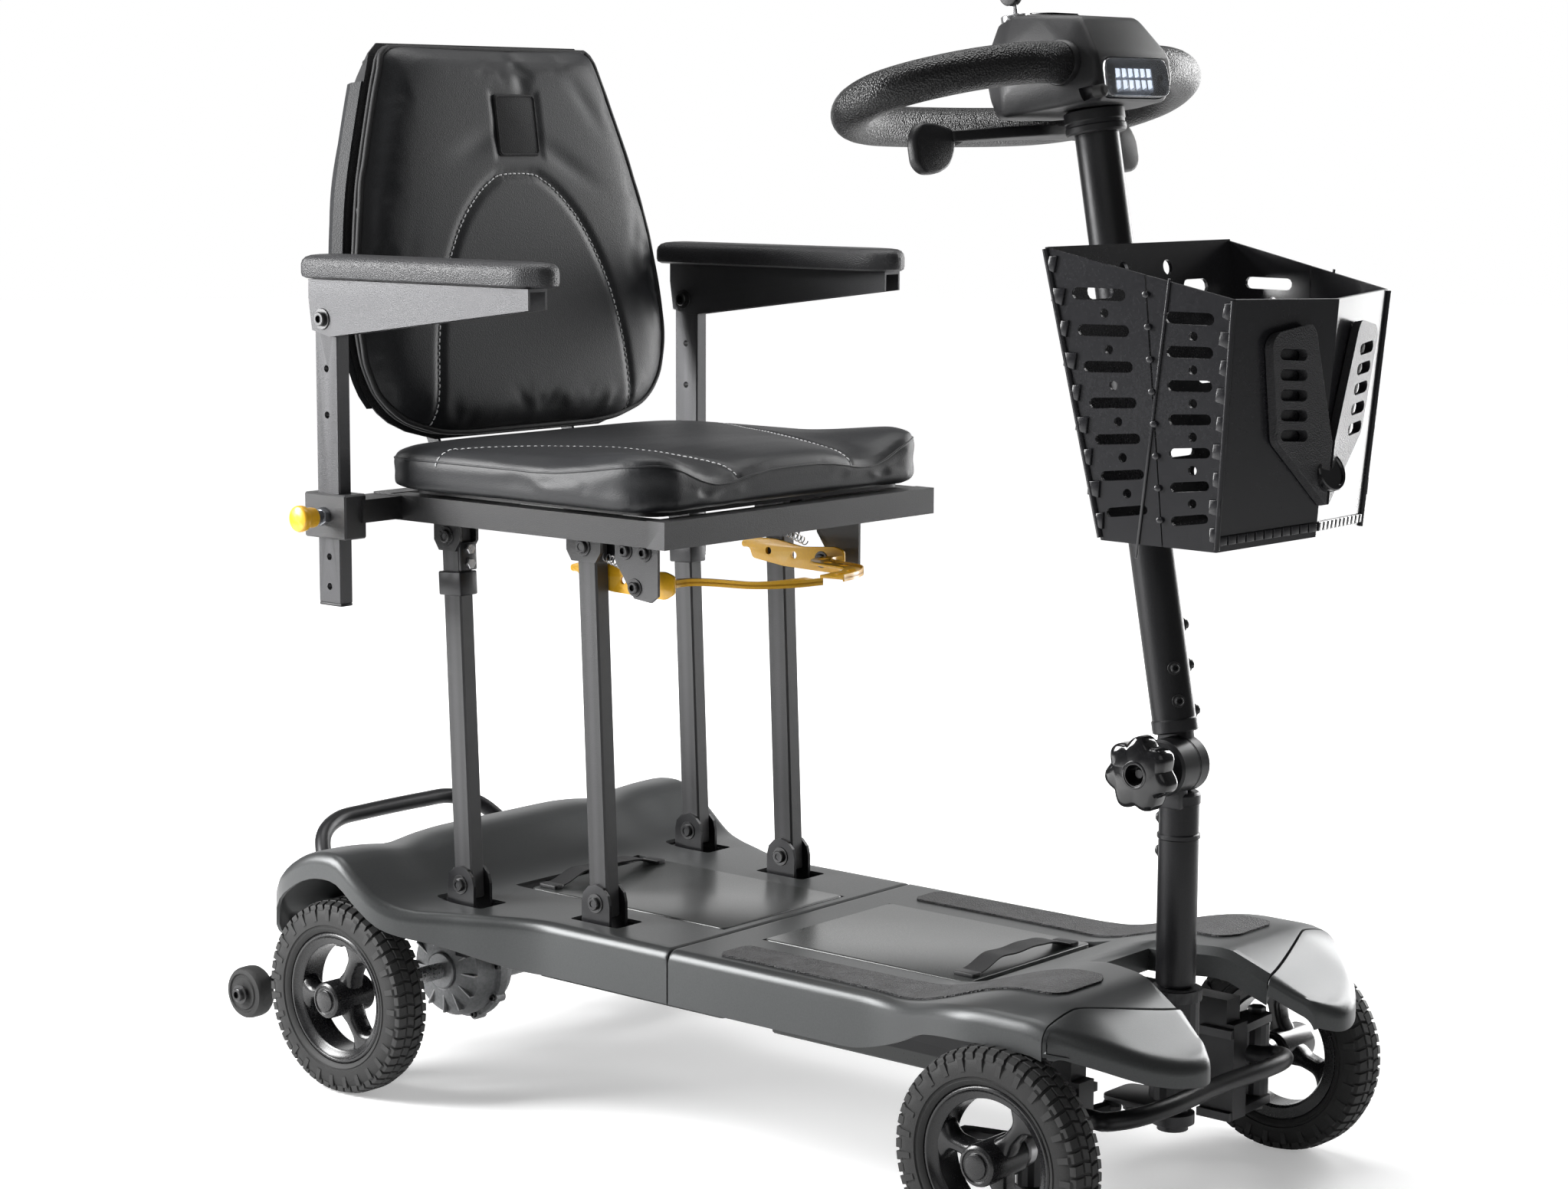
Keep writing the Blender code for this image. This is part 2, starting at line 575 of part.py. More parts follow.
def arch_half_width(y):
    return follow([(-0.800, 0.062), (-0.700, 0.036)], y)


def seam_y(x):
    return -0.792 + 0.030 * min(1.0, max(0.0, (abs(x) - 0.062) / 0.10)) ** 1.2


def shell(rows, thickness, skirt):
    """A shell from rows of points: rims turned down by skirt(x, y), then thickened inwards."""
    bm = bmesh.new()
    grid = [[bm.verts.new(p) if p else None for p in row] for row in rows]
    for a, b in zip(grid, grid[1:]):
        for k in range(len(a) - 1):
            corners = (a[k], a[k + 1], b[k + 1], b[k])
            if all(corners):
                bm.faces.new(corners)
    loose = [v for v in bm.verts if not v.link_faces]
    bmesh.ops.delete(bm, geom=loose, context="VERTS")
    bmesh.ops.recalc_face_normals(bm, faces=bm.faces)
    if sum(f.normal.z for f in bm.faces) < 0:
        bmesh.ops.reverse_faces(bm, faces=bm.faces)
    rim = [e for e in bm.edges if e.is_boundary]
    made = bmesh.ops.extrude_edge_only(bm, edges=rim)
    for vert in [g for g in made["geom"] if isinstance(g, bmesh.types.BMVert)]:
        vert.co.z -= skirt(vert.co.x, vert.co.y, vert.co.z)
    mesh = bpy.data.meshes.new("shell")
    bm.to_mesh(mesh)
    bm.free()
    holder = bpy.data.objects.new("operand", mesh)
    bpy.context.scene.collection.objects.link(holder)
    thick = holder.modifiers.new("thick", "SOLIDIFY")
    thick.thickness = thickness
    thick.offset = -1
    thick.use_even_offset = True
    depsgraph = bpy.context.evaluated_depsgraph_get()
    solid = bpy.data.meshes.new_from_object(holder.evaluated_get(depsgraph))
    bpy.data.objects.remove(holder, do_unlink=True)
    return solid


def leg_slots():
    slots = []
    for side, _ in SIDES:
        for x, y in (REAR_LEG, FRONT_LEG):
            slots.append(box((side * x - 0.0167, y - 0.0304, 0.12), (side * x + 0.0167, y + 0.0262, 0.26)))
    return slots


def spread(count, low, high):
    return [low + (high - low) * k / (count - 1) for k in range(count)]


def make_rear_cover():
    ys = [SEAM_Y + 0.0008, -0.28, -0.215, -0.17, -0.134, -0.106, -0.080, -0.058, -0.025, 0.0, 0.025, 0.05, 0.070,
          0.088, 0.102]
    shares = (-1, -0.965, -0.80, -0.55, -0.2, 0.2, 0.55, 0.80, 0.965, 1)
    rows = []
    for y in ys:
        half = rear_cover_half_width(y)
        row = []
        for share in shares:
            x = half * share
            edge = 0.005 if abs(share) == 1 else 0.0
            row.append((x, y, rear_cover_top(x, y) - edge))
        rows.append(row)

    def skirt(x, y, z):
        if y > 0.098:
            return 0.022
        if y < SEAM_Y + 0.002 and abs(x) < DECK_HALF_WIDTH - 0.004:
            return 0.010
        deck = z - 0.133
        return deck + (0.012 - deck) * smoothstep(-0.200, -0.075, y)

    body = shell(rows, COVER_THICKNESS, skirt)
    half, low, high = REAR_PACK
    window = box((-half - 0.001, low - 0.001, 0.12), (half + 0.001, high + 0.018, 0.30))
    add("rear_cover", cut(body, window, *leg_slots()), "cover_gunmetal")


def make_front_cover():
    ys = [SEAM_Y - 0.0008, -0.42, -0.49, -0.56, -0.60, -0.64, -0.675, -0.700, -0.73, -0.760]
    outer_shares = (1.0, 0.965, 0.82, 0.55, 0.25, 0.0)
    rows = []
    for y in ys + ["seam"]:
        row = []
        for side in (-1, 1):
            shares = outer_shares if side < 0 else outer_shares[::-1]
            for share in shares:
                level = -0.790 if y == "seam" else y
                inner, outer = arch_half_width(level), front_cover_half_width(level)
                x = side * (inner + (outer - inner) * share)
                where = seam_y(x) + GAP if y == "seam" else max(y, seam_y(x) + 0.004)
                edge = 0.005 if share == 1.0 else 0.0
                row.append((x, where, front_cover_top(x, where) - edge))
        rows.append(row)
    count = len(rows[0]) // 2
    opened = []
    for row, y in zip(rows, ys + [-0.79]):
        opened.append(row)
    bm_rows = opened

    def skirt(x, y, z):
        if abs(x) < 0.10 and y < -0.69:
            return 0.016
        if y > SEAM_Y - 0.002 and abs(x) < DECK_HALF_WIDTH - 0.004:
            return 0.010
        deck = z - 0.133
        return deck + (0.012 - deck) * (1 - smoothstep(-0.640, -0.540, y))

    solid = arch_shell(bm_rows, count, ys, skirt)
    half, low, high = FRONT_PACK
    window = box((-half - 0.001, low - 0.020, 0.12), (half + 0.001, high + 0.001, 0.30))
    add("front_cover", cut(solid, window), "cover_gunmetal")


def arch_shell(rows, count, ys, skirt):
    """The shell with the faces between the two middle columns left out beyond the arch's start."""
    bm = bmesh.new()
    grid = [[bm.verts.new(p) for p in row] for row in rows]
    for r, (a, b) in enumerate(zip(grid, grid[1:])):
        for k in range(len(a) - 1):
            if k == count - 1 and ys[min(r, len(ys) - 1)] < -0.69:
                continue
            bm.faces.new((a[k], a[k + 1], b[k + 1], b[k]))
    bmesh.ops.recalc_face_normals(bm, faces=bm.faces)
    if sum(f.normal.z for f in bm.faces) < 0:
        bmesh.ops.reverse_faces(bm, faces=bm.faces)
    rim = [e for e in bm.edges if e.is_boundary]
    made = bmesh.ops.extrude_edge_only(bm, edges=rim)
    for vert in [g for g in made["geom"] if isinstance(g, bmesh.types.BMVert)]:
        vert.co.z -= skirt(vert.co.x, vert.co.y, vert.co.z)
    mesh = bpy.data.meshes.new("shell")
    bm.to_mesh(mesh)
    bm.free()
    return thickened(mesh, COVER_THICKNESS)


def thickened(mesh, thickness):
    holder = bpy.data.objects.new("operand", mesh)
    bpy.context.scene.collection.objects.link(holder)
    thick = holder.modifiers.new("thick", "SOLIDIFY")
    thick.thickness = thickness
    thick.offset = -1
    thick.use_even_offset = True
    depsgraph = bpy.context.evaluated_depsgraph_get()
    solid = bpy.data.meshes.new_from_object(holder.evaluated_get(depsgraph))
    bpy.data.objects.remove(holder, do_unlink=True)
    return solid


def nose_tip(share):
    """The nose's front edge, from the arch (0) to the outer side (1)."""
    points = [(0.078, -0.826), (0.096, -0.842), (0.122, -0.837), (0.154, -0.818), (0.183, -0.790),
              (0.200, -0.768)]
    place = share * (len(points) - 1)
    k = min(int(place), len(points) - 2)
    t = place - k
    return tuple(a + (b - a) * t for a, b in zip(points[k], points[k + 1]))


def make_noses():
    for side, word in SIDES:
        rows = []
        for t in (0, 0.35, 0.7, 1.0):
            row = []
            for share in (0, 0.25, 0.55, 0.82, 0.965, 1):
                inner, outer = arch_half_width(-0.79), front_cover_half_width(-0.79)
                x0 = inner + (outer - inner) * share
                start = (x0, seam_y(x0) - GAP)
                end = nose_tip(share)
                x, y = (start[0] + (end[0] - start[0]) * t, start[1] + (end[1] - start[1]) * t)
                edge = 0.005 if t == 1.0 or share == 1 else 0.0
                row.append((side * x, y, front_cover_top(x, y) - edge))
            rows.append(row)
        mesh = shell(rows, COVER_THICKNESS, lambda x, y, z: 0.010)
        add(f"front_nose_{word}", mesh, "cover_gunmetal")


def make_grip_strips():
    for side, word in SIDES:
        outline = ((-0.392, 0.112, 0.150), (-0.56, 0.110, 0.152), (-0.60, 0.107, 0.158), (-0.64, 0.100, 0.166),
                   (-0.675, 0.089, 0.158), (-0.70, 0.083, 0.156), (-0.73, 0.082, 0.154), (-0.742, 0.092, 0.150))
        rows = []
        for y, inner, outer in outline:
            rows.append([(side * x, y, front_cover_top(x, y) + 0.0018) for x in spread(4, inner, outer)])
        mesh = shell(rows, 0.0009, lambda x, y, z: 0.0002)
        add(f"grip_strip_{word}", mesh, "grit")


# ---- chassis, drive and batteries ---------------------------------------------------------------
def clevis(side, x, y):
    """Two rounded ears and the bolt through them."""
    parts = []
    for face in (-1, 1):
        inner = side * x + face * (LEG_X / 2 + 0.0005)
        outer = inner + face * 0.0030
        arc = [(y + 0.0165 * math.cos(a), LEG_PIVOT_Z + 0.0165 * math.sin(a))
               for a in spread(7, 0, math.pi)]
        outline = [(y + 0.0165, 0.150)] + arc + [(y - 0.0165, 0.150)]
        parts.append(extruded(outline, "X", min(inner, outer), max(inner, outer)))
    parts.append(rod(PIVOT_BOLT_RADIUS, (side * x - 0.015, y, LEG_PIVOT_Z), (side * x + 0.015, y, LEG_PIVOT_Z), 8))
    parts.append(box((side * x - 0.014, y - 0.020, 0.1440), (side * x + 0.014, y + 0.020, 0.1520)))
    return parts


def make_chassis():
    parts = []
    for side, _ in SIDES:
        parts.append(box((side * 0.110 - 0.010, -0.7300, 0.1250), (side * 0.110 + 0.010, 0.090, 0.1500)))
        parts += clevis(side, *REAR_LEG)
        parts += clevis(side, *FRONT_LEG)
        ears = []
        front = -WHEELBASE
        for low, high in ((0.1190, 0.1260), (0.0490, 0.0560)):
            plate = extruded([(side * 0.095, front - 0.016), (side * (KINGPIN_X + 0.006), front - 0.011),
                              (side * (KINGPIN_X + 0.011), front), (side * (KINGPIN_X + 0.006), front + 0.011),
                              (side * 0.095, front + 0.016)], "Z", low, high)
            ears.append(plate)
        parts.append(box((min(side * 0.100, side * 0.120), front - 0.016, 0.0490),
                         (max(side * 0.100, side * 0.120), front + 0.016, 0.1300)))
        parts += ears
        parts.append(box((side * 0.1410 - 0.0080, 0.0730, 0.1080), (side * 0.1410 + 0.0080, 0.0890, 0.1480)))
        arm = tube([Vector((side * 0.1400, 0.081, 0.120)), Vector((side * 0.1400, 0.140, 0.085)),
                    Vector((side * 0.1400, 0.1910, 0.0470))], 0.0060, 8)
        parts.append(arm)
        parts.append(rod(0.0050, (side * 0.1380, 0.191, 0.0470), (side * 0.1700, 0.191, 0.0470), 8))
        parts.append(rod(0.0080, (side * 0.1690, 0.191, 0.0470), (side * 0.1720, 0.191, 0.0470), 8))
    parts.append(box((-0.150, 0.072, 0.1260), (0.150, 0.090, 0.1490)))
    parts.append(box((-0.160, -0.1040, 0.1300), (0.160, -0.0900, 0.1480)))
    parts.append(box((-0.105, -0.372, 0.1260), (0.105, -0.352, 0.1490)))
    parts.append(box((-0.105, -0.655, 0.1260), (0.105, -0.635, 0.1490)))
    parts.append(box((-0.012, -0.728, 0.1150), (0.012, -0.650, 0.1700)))
    parts.append(rod(HEAD_TUBE_RADIUS, (0, COLUMN_Y, 0.0950), (0, COLUMN_Y, 0.1850), 20))
    parts.append(turned([(0.0215, 0.1750), (0.0215, 0.1840)], (0, 0, 1), (0, COLUMN_Y, 0), 20))
    frame = joined(*parts)
    holes = [rod(0.0127, (0, COLUMN_Y, 0.080), (0, COLUMN_Y, 0.200), 20)]
    for side, _ in SIDES:
        pin = (side * KINGPIN_X, -WHEELBASE)
        holes.append(rod(0.0052, (*pin, 0.040), (*pin, 0.140), 14))
        holes.append(box((side * KINGPIN_X - 0.0145, pin[1] - 0.03, 0.0563),
                         (side * KINGPIN_X + 0.03, pin[1] + 0.03, 0.1187)))
    add("chassis_frame", cut(frame, *holes), "black_metal")

    bumper = [(0.0, -0.788, 0.1120), (0.070, -0.789, 0.1110), (0.106, -0.782, 0.1090), (0.122, -0.766, 0.1060),
              (0.1190, -0.753, 0.1040), (0.1185, -0.7415, 0.1035)]
    path = smooth_path([(-x, y, z) for x, y, z in bumper[:0:-1]] + bumper, 0.024)
    add("front_bumper", tube(path, 0.0075, 7), "black_metal")

    bar = [(0.1220, 0.1120, 0.1550), (0.1190, 0.126, 0.172), (0.103, 0.147, 0.194), (0.074, 0.159, 0.2045),
           (0.036, 0.161, 0.2060)]
    path = smooth_path(bar + [(-x, y, z) for x, y, z in bar[::-1]], 0.022)
    add("rear_grab_bar", tube(path, 0.0075, 8), "black_metal")

    casing = turned([(0.018, -0.030), (0.040, -0.026), (0.046, -0.016), (0.049, -0.003), (0.049, 0.006),
                     (0.043, 0.012), (0.036, 0.026), (0.022, 0.030)], (1, 0, 0), (-0.060, 0, WHEEL_RADIUS), 20)
    nose = rod(0.022, (-0.060, 0, WHEEL_RADIUS), (0.060, 0, WHEEL_RADIUS), 16)
    lug = box((-0.074, -0.020, 0.100), (-0.046, 0.050, 0.158))
    casing = joined(casing, nose, lug)
    outer = rod(0.017, (0.058, 0, WHEEL_RADIUS), (0.092, 0, WHEEL_RADIUS), 14)
    far = rod(0.017, (-0.088, 0, WHEEL_RADIUS), (-0.094, 0, WHEEL_RADIUS), 14)
    add("transaxle", joined(casing, outer, far), "cast_metal")
    motor = turned([(0.020, 0.0), (0.028, 0.002), (0.028, 0.086), (0.022, 0.090)], (1, 0, 0),
                   (-0.006, 0.030, 0.1560), 14)
    add("drive_motor", motor, "black_metal")
    add("motor_controller", box((0.020, -0.085, 0.140), (0.090, -0.022, 0.168), 0.003), "black_plastic")

    for name, (half, low, high) in (("rear_battery", REAR_PACK), ("front_battery", FRONT_PACK)):
        case = box((-half + 0.004, low + 0.004, PACK_BOTTOM_Z), (half - 0.004, high - 0.004, 0.172), 0.004)
        lid = box((-half, low, 0.1700), (half, high, DECK_Z + 0.0004), 0.0012)
        add(name, joined(case, lid), "pack_lid", (0, (low + high) / 2, PACK_BOTTOM_Z))
    for name, (half, low, high), edge in (("rear_battery_strap", REAR_PACK, 1),
                                         ("front_battery_strap", FRONT_PACK, -1)):
        y = high - 0.014 if edge > 0 else low + 0.014
        base = DECK_Z + 0.0012
        arch = [(-0.070, base), (-0.058, base + 0.0050), (-0.040, base + 0.0085), (0.040, base + 0.0085),
                (0.058, base + 0.0050), (0.070, base)]
        top = [(x, z + 0.0022) for x, z in arch[::-1]]
        add(name, extruded(arch + top, "Y", y - 0.010, y + 0.010), "webbing", (0, y, base))


# ---- seat ---------------------------------------------------------------------------------------
def leg_mesh(side, x, y):
    body = box((side * x - LEG_X / 2, -LEG_Y / 2, -0.0130), (side * x + LEG_X / 2, LEG_Y / 2, LEG_LENGTH + 0.0125),
               0.0016)
    holes = [rod(PIVOT_BOLT_RADIUS + 0.0006, (side * x - 0.03, 0, z), (side * x + 0.03, 0, z), 10)
             for z in (0, LEG_LENGTH)]
    made = cut(body, *holes)
    made.transform(Matrix.Translation((0, y, LEG_PIVOT_Z)) @ Matrix.Rotation(-LEG_LEAN, 4, "X"))
    return made


def upper_pivot(y):
    return (y + LEG_LENGTH * math.sin(LEG_LEAN), LEG_PIVOT_Z + LEG_LENGTH * math.cos(LEG_LEAN))


def make_seat():
    for side, word in SIDES:
        for end, (x, y) in (("rear", REAR_LEG), ("front", FRONT_LEG)):
            add(f"{end}_leg_{word}", leg_mesh(side, x, y), "frame_charcoal", (side * x, y, LEG_PIVOT_Z))

    low = SEAT_TOP_Z - SEAT_RAIL
    parts = [box((-SEAT_HALF_WIDTH, SEAT_FRONT_Y, low), (SEAT_HALF_WIDTH, SEAT_FRONT_Y + 0.020, SEAT_TOP_Z)),
             box((-SEAT_HALF_WIDTH, SEAT_REAR_Y - 0.022, low), (SEAT_HALF_WIDTH, SEAT_REAR_Y, SEAT_TOP_Z)),
             box((-SEAT_HALF_WIDTH + 0.005, -0.262, SEAT_TOP_Z - 0.006),
                 (SEAT_HALF_WIDTH - 0.005, -0.222, SEAT_TOP_Z - 0.001)),
             box((-SEAT_HALF_WIDTH + 0.005, -0.130, SEAT_TOP_Z - 0.006),
                 (SEAT_HALF_WIDTH - 0.005, -0.090, SEAT_TOP_Z - 0.001))]
    cuts = []
    for side, _ in SIDES:
        parts.append(box((min(side * SEAT_HALF_WIDTH, side * 0.1588), SEAT_FRONT_Y + 0.001, low + 0.0005),
                         (max(side * SEAT_HALF_WIDTH, side * 0.1588), SEAT_REAR_Y - 0.001, SEAT_TOP_Z - 0.0005)))
        for x, y0, wide in ((*REAR_LEG, 0.016), (*FRONT_LEG, 0.020)):
            y, z = upper_pivot(y0)
            for face in (-1, 1):
                inner = side * x + face * (LEG_X / 2 + 0.0005)
                outer = inner + face * 0.0030
                outline = [(y - wide, SEAT_TOP_Z - 0.003), (y - wide, z - 0.004), (y - wide + 0.006, z - 0.013),
                           (y + wide - 0.006, z - 0.013), (y + wide, z - 0.004), (y + wide, SEAT_TOP_Z - 0.003)]
                parts.append(extruded(outline, "X", min(inner, outer), max(inner, outer)))
            parts.append(rod(PIVOT_BOLT_RADIUS, (side * x - 0.015, y, z), (side * x + 0.015, y, z), 8))
            parts.append(box((side * x - 0.0115, y - wide, SEAT_TOP_Z - 0.0050),
                             (side * x + 0.0115, y + wide, SEAT_TOP_Z - 0.0015)))
        if True:
            x = FRONT_LEG[0]
            inner = side * (x + LEG_X / 2 + 0.0006)
            outer = side * (x + LEG_X / 2 + 0.0034)
            outline = [(-0.262, 0.520), (-0.262, 0.497), (-0.284, 0.466), (-0.303, 0.464), (-0.311, 0.470),
                       (-0.311, 0.520)]
            parts.append(extruded(outline, "X", min(inner, outer), max(inner, outer)))
            parts.append(box((min(outer, side * 0.170), -0.311, 0.5165), (max(outer, side * 0.170), -0.262, 0.5195)))
        parts.append(box((min(side * 0.170, side * 0.2245), -0.048, 0.5190),
                         (max(side * 0.170, side * 0.2245), -0.0125, 0.5390)))
        parts.append(box((min(side * 0.2175, side * 0.2425), -0.0455, CLAMP_Z[0]),
                         (max(side * 0.2175, side * 0.2425), 0.0075, CLAMP_Z[1]), 0.0015))
        cuts.append(box((side * POST_X - POST_SIZE[0] / 2 - GAP, POST_Y - POST_SIZE[1] / 2 - GAP, 0.48),
                        (side * POST_X + POST_SIZE[0] / 2 + GAP, POST_Y + POST_SIZE[1] / 2 + GAP, 0.58)))
        cuts.append(rod(0.0052, (side * 0.2370, POST_Y, 0.5245), (side * 0.2500, POST_Y, 0.5245), 12))
        bracket = extruded([(SEAT_REAR_Y - 0.010, 0.5300), (SEAT_REAR_Y + 0.004, 0.5300), (0.0250, 0.600),
                            (0.0250, 0.6500), (0.0100, 0.6500), (0.0100, 0.600)], "X",
                           min(side * 0.0850, side * 0.0880), max(side * 0.0850, side * 0.0880))
        parts.append(bracket)
        cuts.append(rod(0.0046, (side * 0.078, BACK_PIVOT[0], BACK_PIVOT[1]),
                        (side * 0.0885, BACK_PIVOT[0], BACK_PIVOT[1]), 10))
    frame = cut(joined(*parts), *cuts)
    add("seat_frame", frame, "frame_charcoal", (0, upper_pivot(REAR_LEG[1])[0], upper_pivot(REAR_LEG[1])[1]))

    low_z, high_z = CUSHION_Z
    cushion = box((-CUSHION_HALF_WIDTH, CUSHION_Y[0], low_z), (CUSHION_HALF_WIDTH, CUSHION_Y[1], high_z), 0.010, 2)
    add("seat_cushion", cushion, "leather", (0, 0, SEAT_TOP_Z))

    make_backrest()
    for side, word in SIDES:
        make_armrest(side, word)
        make_latch(side, word)


def back_half_width(t):
    return follow([(0.0, 0.112), (0.05, 0.160), (0.14, 0.186), (0.32, 0.2025), (0.62, 0.190), (0.92, 0.149),
                   (1.0, 0.136)], t)


def back_depth(t):
    """How far the sleeve behind the frame tube bulges rearwards."""
    return follow([(0.0, 0.0300), (0.25, 0.0520), (0.60, 0.0480), (1.0, 0.0100)], t)


def make_backrest():
    """Built upright with its hinge at the origin, then leaned back about the hinge.

    The upholstery is a padded sleeve that slips over the bent tube from above.
    """
    lean = (Matrix.Translation((0, BACK_PIVOT[0], BACK_PIVOT[1])) @ Matrix.Rotation(-BACK_LEAN, 4, "X"))
    bottom, top = -0.060, 0.292
    front = -0.0460
    rows = []
    for t in (0.0, 0.05, 0.14, 0.32, 0.55, 0.78, 0.94, 1.0):
        half = back_half_width(t)
        z = bottom + (top - bottom) * t
        face = front + (0.018 if t == 0 else 0.008 if t == 0.05 else 0.006 if t == 1.0 else 0.0)
        edge = front + 0.022
        back = edge + back_depth(t)
        rows.append([(x, y, z) for x, y in
                     ((-half, edge - 0.006), (-half * 0.90, face), (half * 0.90, face), (half, edge - 0.006),
                      (half * 0.99, edge + 0.004), (half * 0.86, back), (-half * 0.86, back),
                      (-half * 0.99, edge + 0.004))])
    sleeve = loft(rows)

    side_path = [(0.0960, 0.000, -0.012), (0.0970, 0.000, 0.060), (0.106, 0.000, 0.150), (0.112, 0.000, 0.215),
                 (0.104, 0.000, 0.252), (0.080, 0.000, 0.268), (0.040, 0.000, 0.2700)]
    route = smooth_path(side_path + [(-x, y, z) for x, y, z in side_path[::-1]], 0.040)
    channel = tube([route[0] - Vector((0, 0, 0.080))] + route[1:-1] + [route[-1] - Vector((0, 0, 0.080))],
                   0.0070, 7)
    notches = [box((side * 0.092 - 0.012, -0.0100, -0.080), (side * 0.092 + 0.012, 0.080, 0.020))
               for side in (1, -1)]
    pivot = (0, BACK_PIVOT[0], BACK_PIVOT[1])
    slits = [box((side * 0.0866 - 0.0026, -0.100, -0.080), (side * 0.0866 + 0.0026, 0.080, 0.0125))
             for side in (1, -1)]
    pad = cut(sleeve, channel, *notches, *slits)
    pad.transform(lean)
    add("backrest_pad", pad, "leather", pivot)

    pins = [rod(0.0040, (side * 0.0950, 0, 0), (side * 0.0810, 0, 0), 8) for side in (1, -1)]
    frame = joined(tube(route, 0.0062, 7), *pins)
    frame.transform(lean)
    add("backrest_frame", frame, "black_metal", pivot)


def make_armrest(side, word):
    x = side * POST_X
    post = box((x - POST_SIZE[0] / 2, POST_Y - POST_SIZE[1] / 2, POST_Z[0]),
               (x + POST_SIZE[0] / 2, POST_Y + POST_SIZE[1] / 2, POST_Z[1]), 0.0012)
    bolt = rod(0.0040, (x - 0.0125, POST_Y, ARM_PIVOT_Z), (x + 0.0125, POST_Y, ARM_PIVOT_Z), 10)
    holes = [rod(0.0032, (x - 0.02, POST_Y, z), (x + 0.02, POST_Y, z), 10) for z in (0.652, 0.612, 0.4885, 0.4625)]
    pin_hole = rod(0.0036, (x, POST_Y, 0.5245), (x + side * 0.02, POST_Y, 0.5245), 10)
    add(f"armrest_post_{word}", joined(cut(post, pin_hole, *holes), bolt), "frame_charcoal",
        (x, POST_Y, CLAMP_Z[0]))

    pivot = (x, POST_Y, ARM_PIVOT_Z)
    outline = [(-0.002, 0.7288), (-0.002, 0.712), (-0.006, 0.6850), (-0.028, 0.6800), (-0.268, 0.7115),
               (-0.268, 0.7288)]
    outer = extruded(outline, "X", x - 0.0110, x + 0.0110)
    inner = box((x - 0.0088, -0.40, 0.66), (x + 0.0088, 0.05, 0.7262))
    bore = rod(0.0046, (x - 0.03, POST_Y, ARM_PIVOT_Z), (x + 0.03, POST_Y, ARM_PIVOT_Z), 12)
    add(f"armrest_bracket_{word}", cut(outer, inner, bore), "frame_charcoal", pivot)

    low, high = PAD_Z
    near, far = sorted((side * PAD_X[0], side * PAD_X[1]))
    pad = box((near, PAD_Y[0], low + GAP), (far, PAD_Y[1], high), 0.005, 1)
    add(f"armrest_pad_{word}", pad, "black_plastic", pivot)

    at = (side * 0.2445, POST_Y, 0.5245)
    knob = turned([(0.0060, 0.0), (0.0060, 0.0070), (0.0085, 0.0075), (0.0085, 0.0210), (0.0115, 0.0230),
                   (0.0115, 0.0285), (0.0090, 0.0300)], (side, 0, 0), at, 12)
    pin = rod(0.0030, (side * 0.2388, POST_Y, 0.5245), (side * 0.2450, POST_Y, 0.5245), 10)
    add(f"post_plunger_{word}", joined(knob, pin), "yellow", at)


def make_latch(side, word):
    """The yellow release lever: a hooked plate on a pivot and a grip bar towards the middle."""
    x = side * (FRONT_LEG[0] + LEG_X / 2 - 0.0185)
    pivot = (x, -0.2850, 0.4755)
    plate = extruded([(-0.190, 0.4840), (-0.196, 0.4700), (-0.240, 0.4660), (-0.300, 0.4640), (-0.311, 0.4700),
                      (-0.311, 0.4850), (-0.300, 0.4880), (-0.230, 0.4860)], "X", x - 0.0016, x + 0.0016)
    arm = [(x + side * 0.0016, -0.311), (x + side * 0.0016, -0.290), (side * 0.080, -0.290),
           (side * 0.066, -0.345), (side * 0.010, -0.366), (side * 0.010, -0.392), (side * 0.070, -0.384),
           (side * 0.084, -0.318)]
    grip = extruded(arm, "Z", 0.4740, 0.4820)
    add(f"latch_lever_{word}", joined(plate, grip), "yellow", pivot)


make_wheels()
make_steering()
make_tiller()
make_basket()
make_rear_cover()
make_front_cover()
make_noses()
make_grip_strips()
make_chassis()
make_seat()
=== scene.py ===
"""Looks for the four-wheel mobility scooter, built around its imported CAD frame.

Shapes are worked out in the rear axle's frame: metres, +Z up, the front towards -Y, and Y = 0 over
the rear axle. AXLE_Y moves them to the row's frame, and TILLER moves what sits on the leaning tiller.
"""

import json
import math

import bpy
import bmesh
from mathutils import Matrix, Vector
from mathutils.bvhtree import BVHTree

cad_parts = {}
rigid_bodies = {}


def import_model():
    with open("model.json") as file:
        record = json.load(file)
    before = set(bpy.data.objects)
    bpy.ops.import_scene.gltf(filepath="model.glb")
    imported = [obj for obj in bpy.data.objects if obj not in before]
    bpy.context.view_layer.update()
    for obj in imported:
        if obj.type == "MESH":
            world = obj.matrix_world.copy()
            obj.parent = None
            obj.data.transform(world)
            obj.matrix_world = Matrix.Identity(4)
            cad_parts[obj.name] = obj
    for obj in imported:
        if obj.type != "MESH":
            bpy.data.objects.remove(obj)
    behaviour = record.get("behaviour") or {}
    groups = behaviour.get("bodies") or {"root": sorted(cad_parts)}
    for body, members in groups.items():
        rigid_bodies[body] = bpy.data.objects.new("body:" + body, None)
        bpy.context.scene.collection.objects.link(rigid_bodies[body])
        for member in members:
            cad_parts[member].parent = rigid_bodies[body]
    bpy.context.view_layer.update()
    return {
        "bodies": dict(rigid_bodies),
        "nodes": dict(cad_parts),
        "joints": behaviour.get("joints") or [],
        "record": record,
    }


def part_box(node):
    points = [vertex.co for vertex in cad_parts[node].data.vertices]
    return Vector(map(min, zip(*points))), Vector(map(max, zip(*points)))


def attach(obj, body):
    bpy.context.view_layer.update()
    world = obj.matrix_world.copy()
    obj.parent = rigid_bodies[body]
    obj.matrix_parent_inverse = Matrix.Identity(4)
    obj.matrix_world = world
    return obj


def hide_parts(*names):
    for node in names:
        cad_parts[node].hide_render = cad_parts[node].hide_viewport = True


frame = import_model()
